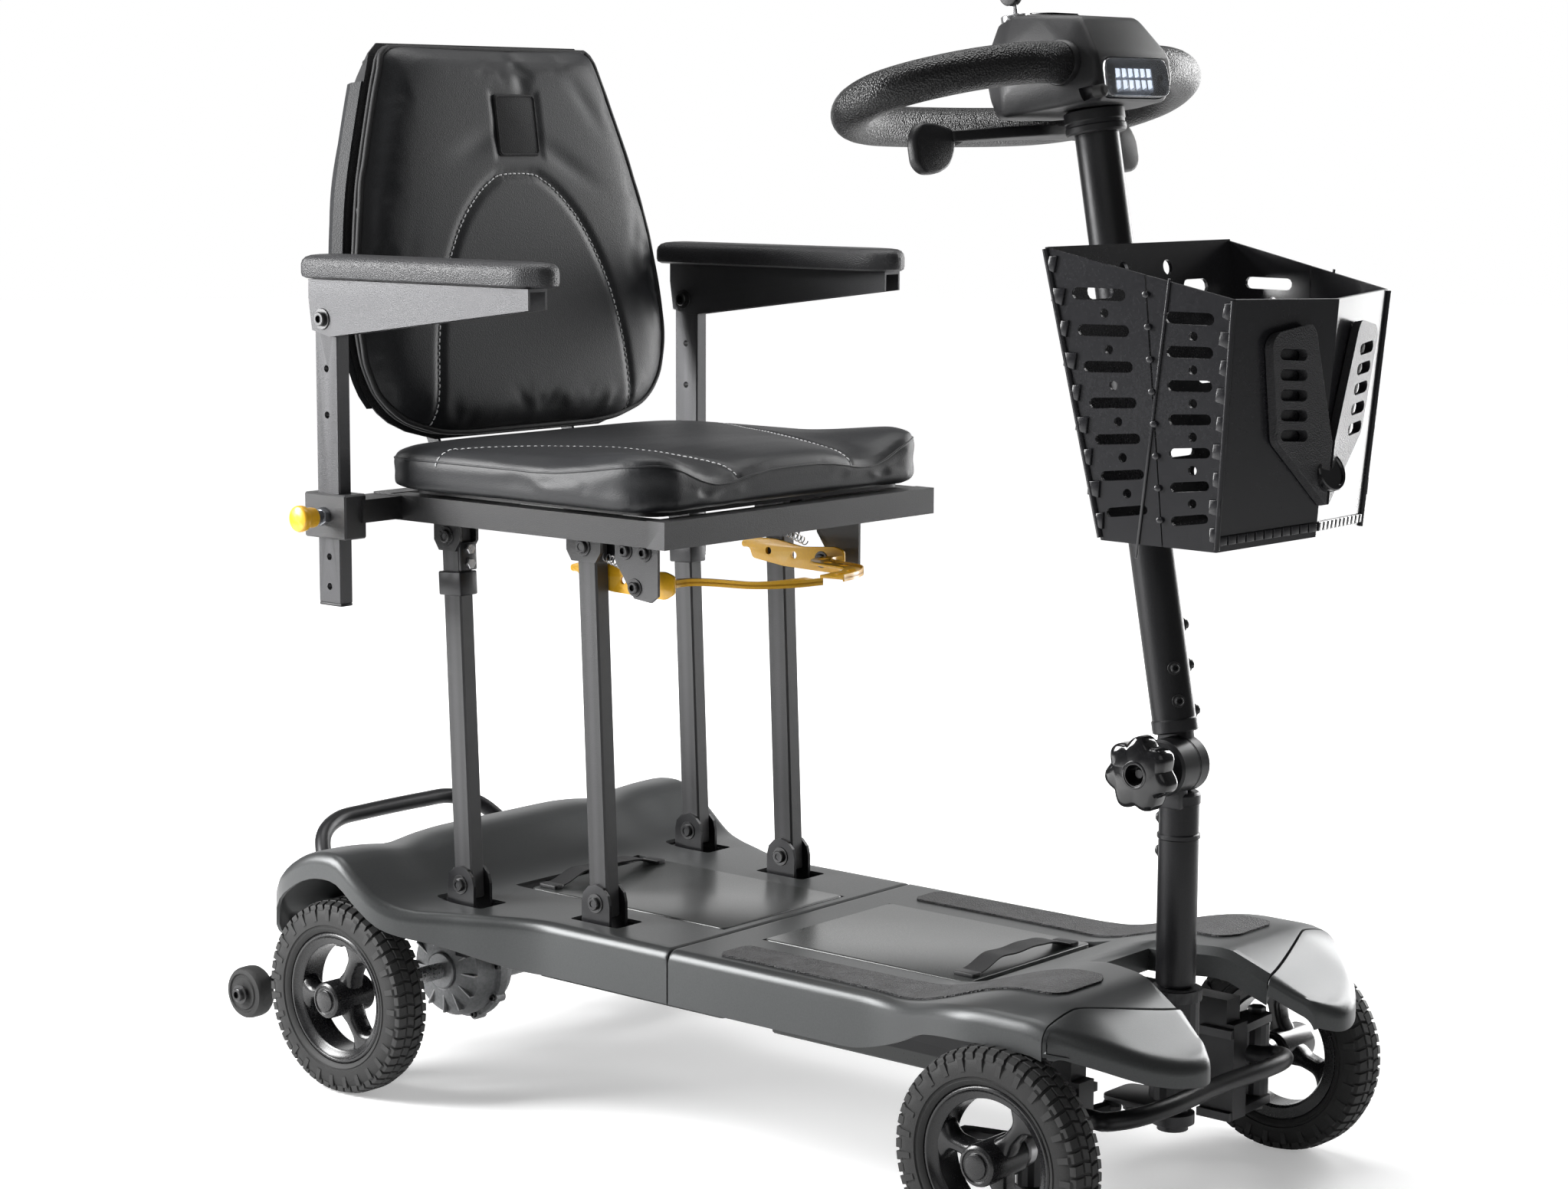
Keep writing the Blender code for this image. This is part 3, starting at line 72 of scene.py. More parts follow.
NODES = frame["nodes"]
SIDES = ((1, "left"), (-1, "right"))
ORIGIN, ALONG_X, ALONG_Y, UPWARDS = (0, 0, 0), (1, 0, 0), (0, 1, 0), (0, 0, 1)

# ---- places and sizes taken from the frame --------------------------------------------------------
def middle(node):
    low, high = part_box(node)
    return (low + high) / 2


AXLE_Y = middle("tyre_rear_left").y
WHEEL_RADIUS = middle("tyre_rear_left").z
FRONT_AXLE = middle("tyre_front_left").y - AXLE_Y
COLUMN_Y = -0.745
HINGE_Z = 0.365
TILLER_LEAN = math.radians(10.4)
DECK_Z = 0.1795
LEGS = {"rear": (0.15, -0.0987), "front": (0.123, -0.2376)}    # across and along, at the deck hinges
SEAM_Y = -0.35
HOME = Matrix.Translation((0, AXLE_Y, 0))
TILLER = HOME @ Matrix.Translation((0, COLUMN_Y, HINGE_Z)) @ Matrix.Rotation(-TILLER_LEAN, 4, "X")
BACK = HOME @ Matrix.Translation((0, 0.015, 0.64)) @ Matrix.Rotation(-math.radians(8.0), 4, "X")


def near_axle(node):
    """A node's box in the rear axle's frame."""
    return [corner - Vector((0, AXLE_Y, 0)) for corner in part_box(node)]


# ---- materials ------------------------------------------------------------------------------------
def adder(tree):
    """A short way to add a node: its inputs are given as plain values or as sockets to link from."""
    def add(kind, inputs=None, **settings):
        node = tree.nodes.new("ShaderNode" + kind)
        for key, value in settings.items():
            setattr(node, key, value)
        for socket, value in (inputs or {}).items():
            if isinstance(value, bpy.types.NodeSocket):
                tree.links.new(value, node.inputs[socket])
            else:
                node.inputs[socket].default_value = value
        return node
    return add


def two_colours(add, factor, dark, light, low=0.0, high=1.0):
    ramp = add("ValToRGB", {"Fac": factor})
    for stop, place, colour in zip(ramp.color_ramp.elements, (low, high), (dark, light)):
        stop.position, stop.color = place, (*colour, 1)
    return ramp.outputs["Color"]


def surface(name, dark, light, rough, metal=0.0, patch=6.0, grain=900.0, depth=0.0002, wear=0.0,
            worn=(0.3, 0.3, 0.31), coat=0.0, coat_rough=0.15, cells=False):
    """A finish with large soft colour patches, a fine grain in colour, gloss and relief, and worn edges."""
    made = bpy.data.materials.new(name)
    made.use_nodes = True
    tree = made.node_tree
    add = adder(tree)
    shader = tree.nodes["Principled BSDF"]
    shader.inputs["Metallic"].default_value = metal
    shader.inputs["Coat Weight"].default_value = coat
    shader.inputs["Coat Roughness"].default_value = coat_rough
    place = add("TexCoord").outputs["Object"]

    def noise(scale, detail):
        return add("TexNoise", {"Scale": scale, "Detail": detail, "Vector": place}).outputs["Fac"]

    mixed = add("Mix", {"Factor": 0.45, "A": noise(patch, 3.0), "B": noise(grain * 0.5, 2.0)},
                data_type="FLOAT").outputs["Result"]
    colour = two_colours(add, mixed, dark, light, 0.32, 0.68)
    if wear:
        edge = add("MapRange", {"From Min": 0.53, "From Max": 0.62, "To Max": wear,
                                "Value": add("NewGeometry").outputs["Pointiness"]})
        colour = add("Mix", {"B": (*worn, 1), "Factor": edge.outputs["Result"], "A": colour},
                     data_type="RGBA").outputs["Result"]
    tree.links.new(colour, shader.inputs["Base Color"])
    gloss = add("MapRange", {"From Min": 0.3, "From Max": 0.7, "To Min": max(0.03, rough - 0.05),
                             "To Max": rough + 0.06, "Value": mixed})
    tree.links.new(gloss.outputs["Result"], shader.inputs["Roughness"])
    if cells:
        height = add("TexVoronoi", {"Scale": grain, "Vector": place}).outputs["Distance"]
    else:
        height = noise(grain, 3.0)
    relief = add("Bump", {"Distance": depth, "Strength": 0.6, "Height": height})
    tree.links.new(relief.outputs["Normal"], shader.inputs["Normal"])
    return made


MAT = {
    "cover": surface("cover_gunmetal", (0.06, 0.063, 0.064), (0.078, 0.081, 0.082), 0.36, 0.45, 4, 1400,
                     0.00008, coat=0.12, coat_rough=0.35),
    # frame and bracket are one charcoal metal in two copies. frame is darker: painted shade for the legs and
    # seat frame in the seat's shadow. bracket is lighter: painted light for the armrest posts and brackets
    # lit from the left.
    "frame": surface("frame_charcoal", (0.007, 0.007, 0.0075), (0.013, 0.013, 0.014), 0.42, 0.1, 9, 1500,
                     0.0003, wear=0.15),
    "bracket": surface("charcoal_painted_light", (0.03, 0.03, 0.032), (0.048, 0.048, 0.051), 0.4, 0.35, 9, 1500,
                       0.0003, wear=0.15),
    "black": surface("black_metal", (0.01, 0.01, 0.011), (0.018, 0.018, 0.02), 0.34, 0.3, 8, 1600,
                     0.00015, wear=0.15),
    "plastic": surface("black_plastic", (0.012, 0.012, 0.013), (0.02, 0.02, 0.022), 0.44, 0.0, 10, 1300,
                       0.00022),
    # grained is lighter than the smooth black plastic: partly the grain's own grey, and partly painted light
    # for the lit tops and edges of the armrest pads and grille arms.
    "grained": surface("grained_plastic_and_painted_light", (0.026, 0.026, 0.028), (0.044, 0.044, 0.047), 0.38, 0.0, 10, 900,
                       0.0006, cells=True),
    "gloss": surface("gloss_plastic", (0.006, 0.006, 0.007), (0.01, 0.01, 0.011), 0.12, 0.0, 5, 700,
                     0.00003, coat=0.5, coat_rough=0.05),
    "rubber": surface("tyre_rubber", (0.012, 0.012, 0.012), (0.024, 0.024, 0.024), 0.62, 0.0, 14, 1100,
                      0.0003, wear=0.35, worn=(0.05, 0.05, 0.05)),
    "rim": surface("rim_plastic", (0.009, 0.009, 0.01), (0.014, 0.014, 0.015), 0.26, 0.0, 8, 1200,
                   0.00006, coat=0.3, coat_rough=0.25),
    "foam": surface("foam_grip", (0.004, 0.004, 0.0045), (0.009, 0.009, 0.01), 0.34, 0.0, 16, 620,
                    0.0012, cells=True),
    "leather": surface("leather", (0.0065, 0.007, 0.0085), (0.011, 0.012, 0.0145), 0.5, 0.0, 7, 850,
                       0.00016, cells=True, coat=0.05, coat_rough=0.5),
    "mesh_cloth": surface("pouch_cloth", (0.01, 0.01, 0.011), (0.024, 0.024, 0.026), 0.78, 0.0, 10, 1200,
                          0.0006, cells=True),
    "binding": surface("edge_binding", (0.007, 0.007, 0.008), (0.013, 0.013, 0.014), 0.62, 0.0, 10, 1300,
                       0.0004),
    "webbing": surface("webbing", (0.008, 0.008, 0.009), (0.02, 0.02, 0.021), 0.75, 0.0, 12, 1400, 0.0006),
    "grit": surface("grit", (0.006, 0.006, 0.006), (0.085, 0.085, 0.088), 0.5, 0.0, 60, 700, 0.0022,
                    cells=True),
    "cast": surface("cast_metal", (0.16, 0.165, 0.17), (0.3, 0.305, 0.31), 0.46, 0.75, 12, 700, 0.0005,
                    wear=0.5, worn=(0.55, 0.55, 0.56)),
    "yellow": surface("yellow", (0.78, 0.4, 0.01), (0.9, 0.5, 0.016), 0.34, 0.0, 9, 1200, 0.0001,
                      wear=0.2, worn=(0.95, 0.7, 0.2), coat=0.3),
    "lid": surface("pack_lid", (0.036, 0.038, 0.038), (0.045, 0.048, 0.047), 0.3, 0.15, 4, 1500, 0.00005,
                   coat=0.3, coat_rough=0.22),
    "steel": surface("steel", (0.42, 0.42, 0.43), (0.6, 0.6, 0.61), 0.28, 0.95, 18, 900, 0.0001, wear=0.3,
                     worn=(0.8, 0.8, 0.8)),
    "bolt": surface("dark_bolt", (0.012, 0.012, 0.013), (0.03, 0.03, 0.032), 0.3, 0.7, 40, 1500, 0.0001,
                    wear=0.5, worn=(0.2, 0.2, 0.2)),
    "basket": surface("basket_plastic", (0.011, 0.011, 0.013), (0.017, 0.017, 0.02), 0.24, 0.0, 6, 900,
                      0.00006, coat=0.3, coat_rough=0.2),
    "chrome": surface("lamp_chrome", (0.22, 0.23, 0.25), (0.42, 0.43, 0.45), 0.22, 0.9, 20, 900, 0.00005),
    "thread": surface("thread", (0.8, 0.81, 0.82), (0.95, 0.95, 0.95), 0.6, 0.0, 60, 2500, 0.0001),
}


def glass():
    """Clear moulded plastic."""
    made = surface("lamp_glass", (0.93, 0.95, 0.98), (0.98, 0.99, 1.0), 0.04, 0.0, 9, 900, 0.00004)
    shader = made.node_tree.nodes["Principled BSDF"]
    shader.inputs["Transmission Weight"].default_value = 0.95
    shader.inputs["IOR"].default_value = 1.35
    return made


def led():
    """White diodes that glow softly."""
    made = surface("lamp_led", (0.85, 0.9, 1.0), (0.95, 0.97, 1.0), 0.3, 0.0, 40, 900, 0.00004)
    shader = made.node_tree.nodes["Principled BSDF"]
    shader.inputs["Emission Color"].default_value = (0.8, 0.88, 1.0, 1)
    shader.inputs["Emission Strength"].default_value = 1.1
    return made


MAT["glass"] = glass()
MAT["led"] = led()

# Each finish and the CAD nodes that have it, by the start of the node's name; the longest match counts.
WEARS = {
    "black": ("chassis_frame", "drive_motor", "steering_column", "upper_tiller_tube", "backrest_frame",
              "rear_grab_bar", "front_bumper", "knuckle", "tie_rod"),
    "plastic": ("motor_controller", "ignition_key", "throttle_paddle", "basket", "tiller_head"),
    # The frame finish paints shade on the legs and seat frame, and the bracket finish paints light on the
    # armrest posts and brackets.
    "frame": ("seat_frame", "rear_leg", "front_leg"), "bracket": ("armrest_post", "armrest_bracket"),
    "cover": ("rear_cover", "front_cover", "front_nose"), "lid": ("rear_battery", "front_battery"),
    "webbing": ("rear_battery_strap", "front_battery_strap"), "yellow": ("latch_lever", "post_plunger"),
    "rubber": ("anti_tip_wheel", "tyre"), "steel": ("rear_axle", "headlight_lens"), "rim": ("rim",),
    "leather": ("seat_cushion", "backrest_pad"), "grained": ("armrest_pad",), "foam": ("handle_loop",),
    "cast": ("transaxle",), "gloss": ("hinge_knob",), "grit": ("grip_strip",),
}


def finish_of(node):
    return max((len(start), finish) for finish, starts in WEARS.items() for start in starts
               if node.startswith(start))[1]


def soften(obj, width=0.0008, segments=2):
    """Small rounded edges, so that a CAD part's corners catch the light."""
    step = obj.modifiers.new("soft_edges", "BEVEL")
    step.width = width
    step.segments = segments
    step.limit_method = "ANGLE"
    step.angle_limit = math.radians(38)
    step.harden_normals = True


for node, obj in NODES.items():
    obj.data.materials.clear()
    obj.data.materials.append(MAT[finish_of(node)])
    soften(obj)

# ---- mesh helpers ---------------------------------------------------------------------------------
def mesh_from(bm, recalc=True):
    if recalc:
        bmesh.ops.recalc_face_normals(bm, faces=bm.faces)
    mesh = bpy.data.meshes.new("shape")
    bm.to_mesh(mesh)
    bm.free()
    return mesh


def linked(name, data):
    """A new object in the scene."""
    obj = bpy.data.objects.new(name, data)
    bpy.context.scene.collection.objects.link(obj)
    return obj


def piece(name, mesh, finish, body, slot, *stands_for, place=HOME, sharp=35, edge=0.0):
    """A named, placed and smoothed piece that rides on a body and may stand for CAD nodes."""
    mesh.transform(place)
    mesh.shade_smooth()
    mesh.set_sharp_from_angle(angle=math.radians(sharp))
    mesh.materials.clear()
    mesh.materials.append(MAT[finish])
    obj = linked(name, mesh)
    if edge:
        soften(obj, edge)
    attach(obj, body)
    if stands_for:
        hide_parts(*stands_for)
    return obj


def on_tiller(name, mesh, finish, slot, *stands_for, body="tiller", edge=0.0):
    piece(name, mesh, finish, body, slot, *stands_for, place=TILLER, edge=edge)


def fasteners(name, meshes, body, finish="bolt", place=HOME):
    piece(name, merged(*meshes), finish, body, "steel", place=place)


def both_halves(half):
    """A run of points and then its mirror image across x, back to the start."""
    return list(half) + [(-p[0], *p[1:]) for p in half[::-1]]


def rectangle(low_x, low_y, high_x, high_y):
    return [(high_x, high_y), (low_x, high_y), (low_x, low_y), (high_x, low_y)]


def merged(*meshes):
    """Several closed shapes in one mesh, without a boolean."""
    bm = bmesh.new()
    for mesh in meshes:
        bm.from_mesh(mesh)
        bpy.data.meshes.remove(mesh)
    return mesh_from(bm, recalc=False)


def box(low, high, bevel=0.0, segments=2):
    bm = bmesh.new()
    bmesh.ops.create_cube(bm, size=1.0)
    bmesh.ops.scale(bm, vec=[h - l for l, h in zip(low, high)], verts=bm.verts)
    if bevel:
        bmesh.ops.bevel(bm, geom=bm.edges[:], offset=bevel, segments=segments, affect="EDGES", profile=0.5)
    bmesh.ops.translate(bm, vec=[(h + l) / 2 for l, h in zip(low, high)], verts=bm.verts)
    return mesh_from(bm)


def turned(profile, axis, at, sides=40, closed=False):
    """(radius, distance along the axis) pairs turned about an axis; a closed profile makes a ring."""
    bm = bmesh.new()
    rings = []
    for radius, along in profile:
        rings.append([bm.verts.new((radius * math.cos(2 * math.pi * k / sides),
                                    radius * math.sin(2 * math.pi * k / sides), along))
                      for k in range(sides)])
    bridge(bm, rings, closed)
    turn_to = Vector((0, 0, 1)).rotation_difference(Vector(axis).normalized()).to_matrix().to_4x4()
    bmesh.ops.transform(bm, matrix=Matrix.Translation(at) @ turn_to, verts=bm.verts)
    return mesh_from(bm)


def rod(radius, start, end, sides=24, chamfer=0.0):
    start, end = Vector(start), Vector(end)
    length = (end - start).length
    c = min(chamfer, radius * 0.6, length * 0.4)
    profile = [(radius - c, 0), (radius, c), (radius, length - c), (radius - c, length)] if c else \
        [(radius, 0), (radius, length)]
    return turned(profile, end - start, start, sides)


def bridge(bm, rings, closed=False):
    """Faces between rings of vertices, which go round; the ends are capped unless the rings close."""
    for a, b in list(zip(rings, rings[1:])) + ([(rings[-1], rings[0])] if closed else []):
        for k in range(len(a)):
            m = (k + 1) % len(a)
            bm.faces.new((a[k], a[m], b[m], b[k]))
    if not closed:
        bm.faces.new(rings[0][::-1])
        bm.faces.new(rings[-1])


def extruded(outline, normal_axis, low, high, bevel=0.0, segments=2):
    order = {"X": (1, 2, 0), "Y": (0, 2, 1), "Z": (0, 1, 2)}[normal_axis]
    bm = bmesh.new()
    rows = []
    for level in (low, high):
        row = []
        for a, b in outline:
            point = [0, 0, 0]
            point[order[0]], point[order[1]], point[order[2]] = a, b, level
            row.append(bm.verts.new(point))
        rows.append(row)
    count = len(outline)
    for k in range(count):
        m = (k + 1) % count
        bm.faces.new((rows[0][k], rows[0][m], rows[1][m], rows[1][k]))
    caps = [bm.faces.new(rows[0][::-1]), bm.faces.new(rows[1])]
    bmesh.ops.recalc_face_normals(bm, faces=bm.faces)
    if bevel:
        rims = list({e for f in caps for e in f.edges})
        bmesh.ops.bevel(bm, geom=rims, offset=bevel, segments=segments, affect="EDGES", profile=0.5)
    return mesh_from(bm)


def rounded(points, radius, steps=5):
    """A closed outline of corner points with each corner rounded."""
    made = []
    count = len(points)
    for k, corner in enumerate(points):
        here = Vector(corner)
        before, after = Vector(points[k - 1]), Vector(points[(k + 1) % count])
        reach = min(radius, (before - here).length * 0.48, (after - here).length * 0.48)
        a = here + (before - here).normalized() * reach
        b = here + (after - here).normalized() * reach
        for n in range(steps + 1):
            t = n / steps
            made.append(tuple((1 - t) ** 2 * a + 2 * t * (1 - t) * here + t * t * b))
    return made


def capsule(length, width, steps=6):
    """A round-ended slot outline about the origin, its long way along the first axis."""
    half, radius = length / 2 - width / 2, width / 2
    right_end = [(half + radius * math.cos(a), radius * math.sin(a))
                 for a in spread(steps, -math.pi / 2, math.pi / 2)]
    return right_end + [(-x, -y) for x, y in right_end]


def spread(count, low, high):
    return [low + (high - low) * k / (count - 1) for k in range(count)]


def smooth_path(points, step, closed=False):
    """Points along a Catmull-Rom curve through the route's own points."""
    route = [Vector(p) for p in points]
    if closed:
        route = [route[-1]] + route + [route[0], route[1]]
    else:
        route = [2 * route[0] - route[1]] + route + [2 * route[-1] - route[-2]]
    made = []
    for k in range(1, len(route) - 2):
        a, b, c, d = route[k - 1:k + 3]
        count = max(1, round((c - b).length / step))
        for n in range(count):
            t = n / count
            made.append(0.5 * (2 * b + (c - a) * t + (2 * a - 5 * b + 4 * c - d) * t * t
                               + (3 * b - a - 3 * c + d) * t ** 3))
    if not closed:
        made.append(route[-2])
    return made


def tube(path, radius, sides=16, closed=False):
    bm = bmesh.new()
    rings = []
    side_way = None
    count = len(path)
    for k, point in enumerate(path):
        if closed:
            ahead = (path[(k + 1) % count] - path[k - 1]).normalized()
        else:
            ahead = (path[min(k + 1, count - 1)] - path[max(k - 1, 0)]).normalized()
        side_way = ahead.orthogonal().normalized() if side_way is None else side_way
        side_way = (side_way - ahead * side_way.dot(ahead)).normalized()
        other = ahead.cross(side_way)
        rings.append([bm.verts.new(point + radius * (math.cos(2 * math.pi * n / sides) * side_way
                                                     + math.sin(2 * math.pi * n / sides) * other))
                      for n in range(sides)])
    bridge(bm, rings, closed)
    return mesh_from(bm)


def loft(sections):
    bm = bmesh.new()
    bridge(bm, [[bm.verts.new(p) for p in section] for section in sections])
    return mesh_from(bm)


def combined(base, others, operation="DIFFERENCE"):
    """The base mesh cut by, joined with or kept inside each of the others."""
    holders = [linked("operand", mesh) for mesh in (base, *others)]
    for holder in holders[1:]:
        step = holders[0].modifiers.new("step", "BOOLEAN")
        step.operation = operation
        step.solver = "EXACT"
        step.object = holder
    made = applied(holders[0])
    for holder in holders:
        bpy.data.objects.remove(holder, do_unlink=True)
    return made


def applied(obj):
    """The object's mesh with its modifiers applied."""
    depsgraph = bpy.context.evaluated_depsgraph_get()
    return bpy.data.meshes.new_from_object(obj.evaluated_get(depsgraph))


def modified(mesh, kind, **settings):
    """A mesh put through one modifier."""
    holder = linked("operand", mesh)
    step = holder.modifiers.new("step", kind)
    for key, value in settings.items():
        setattr(step, key, value)
    made = applied(holder)
    bpy.data.objects.remove(holder, do_unlink=True)
    return made


def eased(share):
    """A share of the way, with slow ends."""
    return 0.5 - 0.5 * math.cos(math.pi * share)


def squarish(value, power):
    """A sine or cosine pushed outwards, so that a circle becomes a rounded square."""
    return math.copysign(abs(value) ** power, value)


def smoothstep(low, high, x):
    t = min(1.0, max(0.0, (x - low) / (high - low)))
    return t * t * (3 - 2 * t)


def follow(pairs, x):
    """A smooth curve through (x, value) pairs in rising x."""
    if x <= pairs[0][0]:
        return pairs[0][1]
    if x >= pairs[-1][0]:
        return pairs[-1][1]
    k = max(n for n, pair in enumerate(pairs[:-1]) if pair[0] <= x)
    (xa, va), (xb, vb) = pairs[k], pairs[k + 1]
    before, after = pairs[max(k - 1, 0)], pairs[min(k + 2, len(pairs) - 1)]
    slope_a = (vb - before[1]) / (xb - before[0]) if k > 0 else 0.0
    slope_b = (after[1] - va) / (after[0] - xa) if k + 2 < len(pairs) else 0.0
    step = xb - xa
    t = (x - xa) / step
    return ((2 * t ** 3 - 3 * t ** 2 + 1) * va + (t ** 3 - 2 * t ** 2 + t) * step * slope_a
            + (3 * t ** 2 - 2 * t ** 3) * vb + (t ** 3 - t ** 2) * step * slope_b)


def bolt_head(at, axis, radius, height):
    """A socket-head bolt: a washer under a round head with a socket."""
    at, axis = Vector(at), Vector(axis).normalized()
    head = turned([(radius, 0.0008), (radius, height - 0.0008), (radius - 0.0008, height),
                   (radius * 0.52, height), (radius * 0.5, height * 0.45)], axis, at, 20)
    return merged(head, turned([(radius * 1.45, 0), (radius * 1.5, 0.0004), (radius * 1.45, 0.001)],
                               axis, at, 24))


def bolt_pair(at, reach, radius, height):
    """Two bolt heads that face away from each other along x."""
    return [bolt_head(Vector(at) + Vector((face * reach, 0, 0)), (face, 0, 0), radius, height)
            for face in (-1, 1)]


def tree_of(surface):
    return BVHTree.FromPolygons([v.co[:] for v in surface.vertices],
                                [p.vertices[:] for p in surface.polygons])


def drape(points, surface, down, lift=0.0):
    """Points moved along one direction onto a surface, each with the surface's normal there."""
    tree = tree_of(surface)
    down = Vector(down).normalized()
    made = []
    for point in points:
        hit, normal, _, _ = tree.ray_cast(Vector(point) - down * 2.0, down)
        if hit is not None:
            made.append((hit + normal * lift, normal))
    return made


def cling(points, surface, lift):
    """Points moved to the nearest place on a surface, then outwards by the lift."""
    tree = tree_of(surface)
    made = []
    for point in points:
        hit, normal, _, _ = tree.find_nearest(point)
        made.append(hit + normal * lift)
    return made


def stitches(points, surface, down, long=0.0034, gap=0.0024, radius=0.0006):
    """A row of short thread stitches sunk into a surface along a route."""
    laid = drape(smooth_path(points, 0.0008), surface, down)
    meshes, walked, start = [], 0.0, None
    for (a, na), (b, _) in zip(laid, laid[1:]):
        walked += (b - a).length
        phase = walked % (long + gap)
        if phase < long and start is None:
            start = (a, na)
        elif phase >= long and start is not None:
            ends = [start[0] + start[1] * radius * 0.1, a + na * radius * 0.1]
            bow = (ends[0] + ends[1]) / 2 + na * radius * 0.9
            meshes.append(tube([ends[0], (ends[0] + bow) / 2 + na * radius * 0.3, bow,
                                (ends[1] + bow) / 2 + na * radius * 0.3, ends[1]], radius, 6))
            start = None
    return merged(*meshes)


def swell(mesh, voxel, pressure, cap, steps=20):
    """The mesh as stretched cloth with air pressure inside; no point may move further than the cap."""
    mesh = modified(mesh, "REMESH", mode="VOXEL", voxel_size=voxel, adaptivity=0.0, use_smooth_shade=True)
    start = [v.co.copy() for v in mesh.vertices]
    holder = linked("swelling", mesh)
    cloth = holder.modifiers.new("cloth", "CLOTH").settings
    cloth.use_pressure, cloth.uniform_pressure_force = True, pressure
    cloth.tension_stiffness = cloth.compression_stiffness = 12
    cloth.bending_stiffness = 0.6
    cloth.effector_weights.gravity = 0
    cloth.quality = 5
    for k in range(1, steps + 1):
        bpy.context.scene.frame_set(k)
    made = applied(holder)
    bpy.data.objects.remove(holder, do_unlink=True)
    bpy.context.scene.frame_set(1)
    for vert, old in zip(made.vertices, start):
        move = vert.co - old
        if move.length > cap:
            vert.co = old + move * (cap / move.length)
    return made


# ---- seat cushion, backrest and armrest pads ------------------------------------------------------
CUSHION_HALF = 0.1885
CUSHION_FRONT, CUSHION_BACK = -0.3525, -0.0315
CUSHION_BOTTOM, CUSHION_TOP = 0.5455, 0.58
SADDLE_LINE = ((0.189, -0.098), (0.17, -0.112), (0.145, -0.146), (0.12, -0.186), (0.101, -0.226),
               (0.089, -0.266), (0.081, -0.306), (0.0765, -0.338), (0.075, -0.35))
SADDLE_ACROSS = sorted((y, x) for x, y in SADDLE_LINE)


def cushion_top(x, y):
    """Crowned seat top: a shallow saddle, a raised middle at the front and raised front corners."""
    across, along = x / CUSHION_HALF, (y - CUSHION_FRONT) / (CUSHION_BACK - CUSHION_FRONT)
    crown = 0.0085 * (1 - across ** 4) * (1 - abs(2 * along - 1) ** 4)
    front = 1 - smoothstep(0.0, 0.42, along)
    corner = 0.0125 * smoothstep(0.56, 0.92, abs(across)) * front
    thigh = -0.0075 * math.exp(-((abs(across) - 0.5) / 0.2) ** 2) * front
    bowl = -0.003 * math.exp(-(across / 0.55) ** 2 - ((along - 0.55) / 0.3) ** 2)
    return CUSHION_TOP + crown + corner + thigh + bowl


def cushion_outline(steps=9):
    """Plan of the cushion with large front corners and smaller rear ones."""
    half, front, back = CUSHION_HALF, CUSHION_FRONT, CUSHION_BACK
    made = []
    for cx, cy, radius, start in ((half, back, 0.022, 0), (-half, back, 0.022, 90),
                                  (-half, front, 0.04, 180), (half, front, 0.04, 270)):
        sx, sy = (1 if cx > 0 else -1), (1 if cy > CUSHION_FRONT / 2 - 0.02 else -1)
        for n in range(steps):
            turn = math.radians(start + 90 * n / (steps - 1))
            made.append((cx - sx * radius + radius * math.cos(turn),
                         cy - sy * radius + radius * math.sin(turn)))
    long = []
    for (xa, ya), (xb, yb) in zip(made, made[1:] + made[:1]):
        count = max(1, round(math.dist((xa, ya), (xb, yb)) / 0.009))
        long += [(xa + (xb - xa) * n / count, ya + (yb - ya) * n / count) for n in range(count)]
    return long


def make_cushion():
    rim = cushion_outline()
    sections = []
    for inset, share in ((0.01, 0.0), (0.003, 0.06), (0.0005, 0.2), (0.0022, 0.5), (0.0005, 0.8),
                         (0.0012, 0.9)):
        sections.append([(x, y, CUSHION_BOTTOM + (cushion_top(x, y) - 0.006 - CUSHION_BOTTOM) * share)
                         for x, y in scaled_plan(rim, inset)])
    for inset, drop in ((0.0035, 0.0035), (0.0075, 0.0012), (0.014, 0.0), (0.03, 0.0), (0.055, 0.0),
                        (0.085, 0.0), (0.115, 0.0), (0.145, 0.0)):
        sections.append([(x, y, cushion_top(x, y) - drop) for x, y in scaled_plan(rim, inset)])
    mesh = swell(loft(sections), 0.0045, 1.5, 0.002)
    mesh = modified(mesh, "SUBSURF", levels=1)
    for vert in mesh.vertices:
        vert.co.z = max(vert.co.z, CUSHION_BOTTOM - 0.0003)
        near = min(abs(abs(vert.co.x) - follow(SADDLE_ACROSS, vert.co.y)), 0.02)
        if vert.co.z > CUSHION_TOP - 0.012 and vert.co.y < -0.11:
            vert.co.z -= 0.0016 * math.exp(-(near / 0.0028) ** 2)
    cushion = piece("cushion_cover", mesh, "leather", "seat", "leather", "seat_cushion")
    raw = mesh.copy()
    raw.transform(HOME.inverted())
    lines = []
    for side, word in SIDES:
        route = [Vector((side * x, y, 0)) for x, y in SADDLE_LINE]
        thread = stitches(route, raw, (0, 0, -1))
        piece(f"saddle_stitch_{word}", thread, "thread", "seat", "leather")
        laid = [p for p, _ in drape(smooth_path(route, 0.003), raw, (0, 0, -1), -0.0003)]
        lines.append(tube(laid, 0.0008, 8))
    rim_line = cling([Vector((x, y, cushion_top(x, y) - 0.0062)) for x, y in scaled_plan(rim, -0.0002)],
                     raw, 0.0)
    lines.append(tube(rim_line, 0.00095, 8, closed=True))
    piece("cushion_welts", merged(*lines), "leather", "seat", "leather")
    base = extruded(rounded([(0.165, -0.335), (0.165, -0.045), (-0.165, -0.045), (-0.165, -0.335)], 0.02),
                    "Z", 0.541, 0.5458)
    piece("cushion_board", base, "plastic", "seat", "leather")
    hooks = [box((side * 0.14 - 0.011, y - 0.018, 0.5404), (side * 0.14 + 0.011, y + 0.018, 0.5426), 0.0006)
             for side, _ in SIDES for y in (-0.3, -0.075)]
    piece("hook_tape", merged(*hooks), "mesh_cloth", "seat", "webbing")


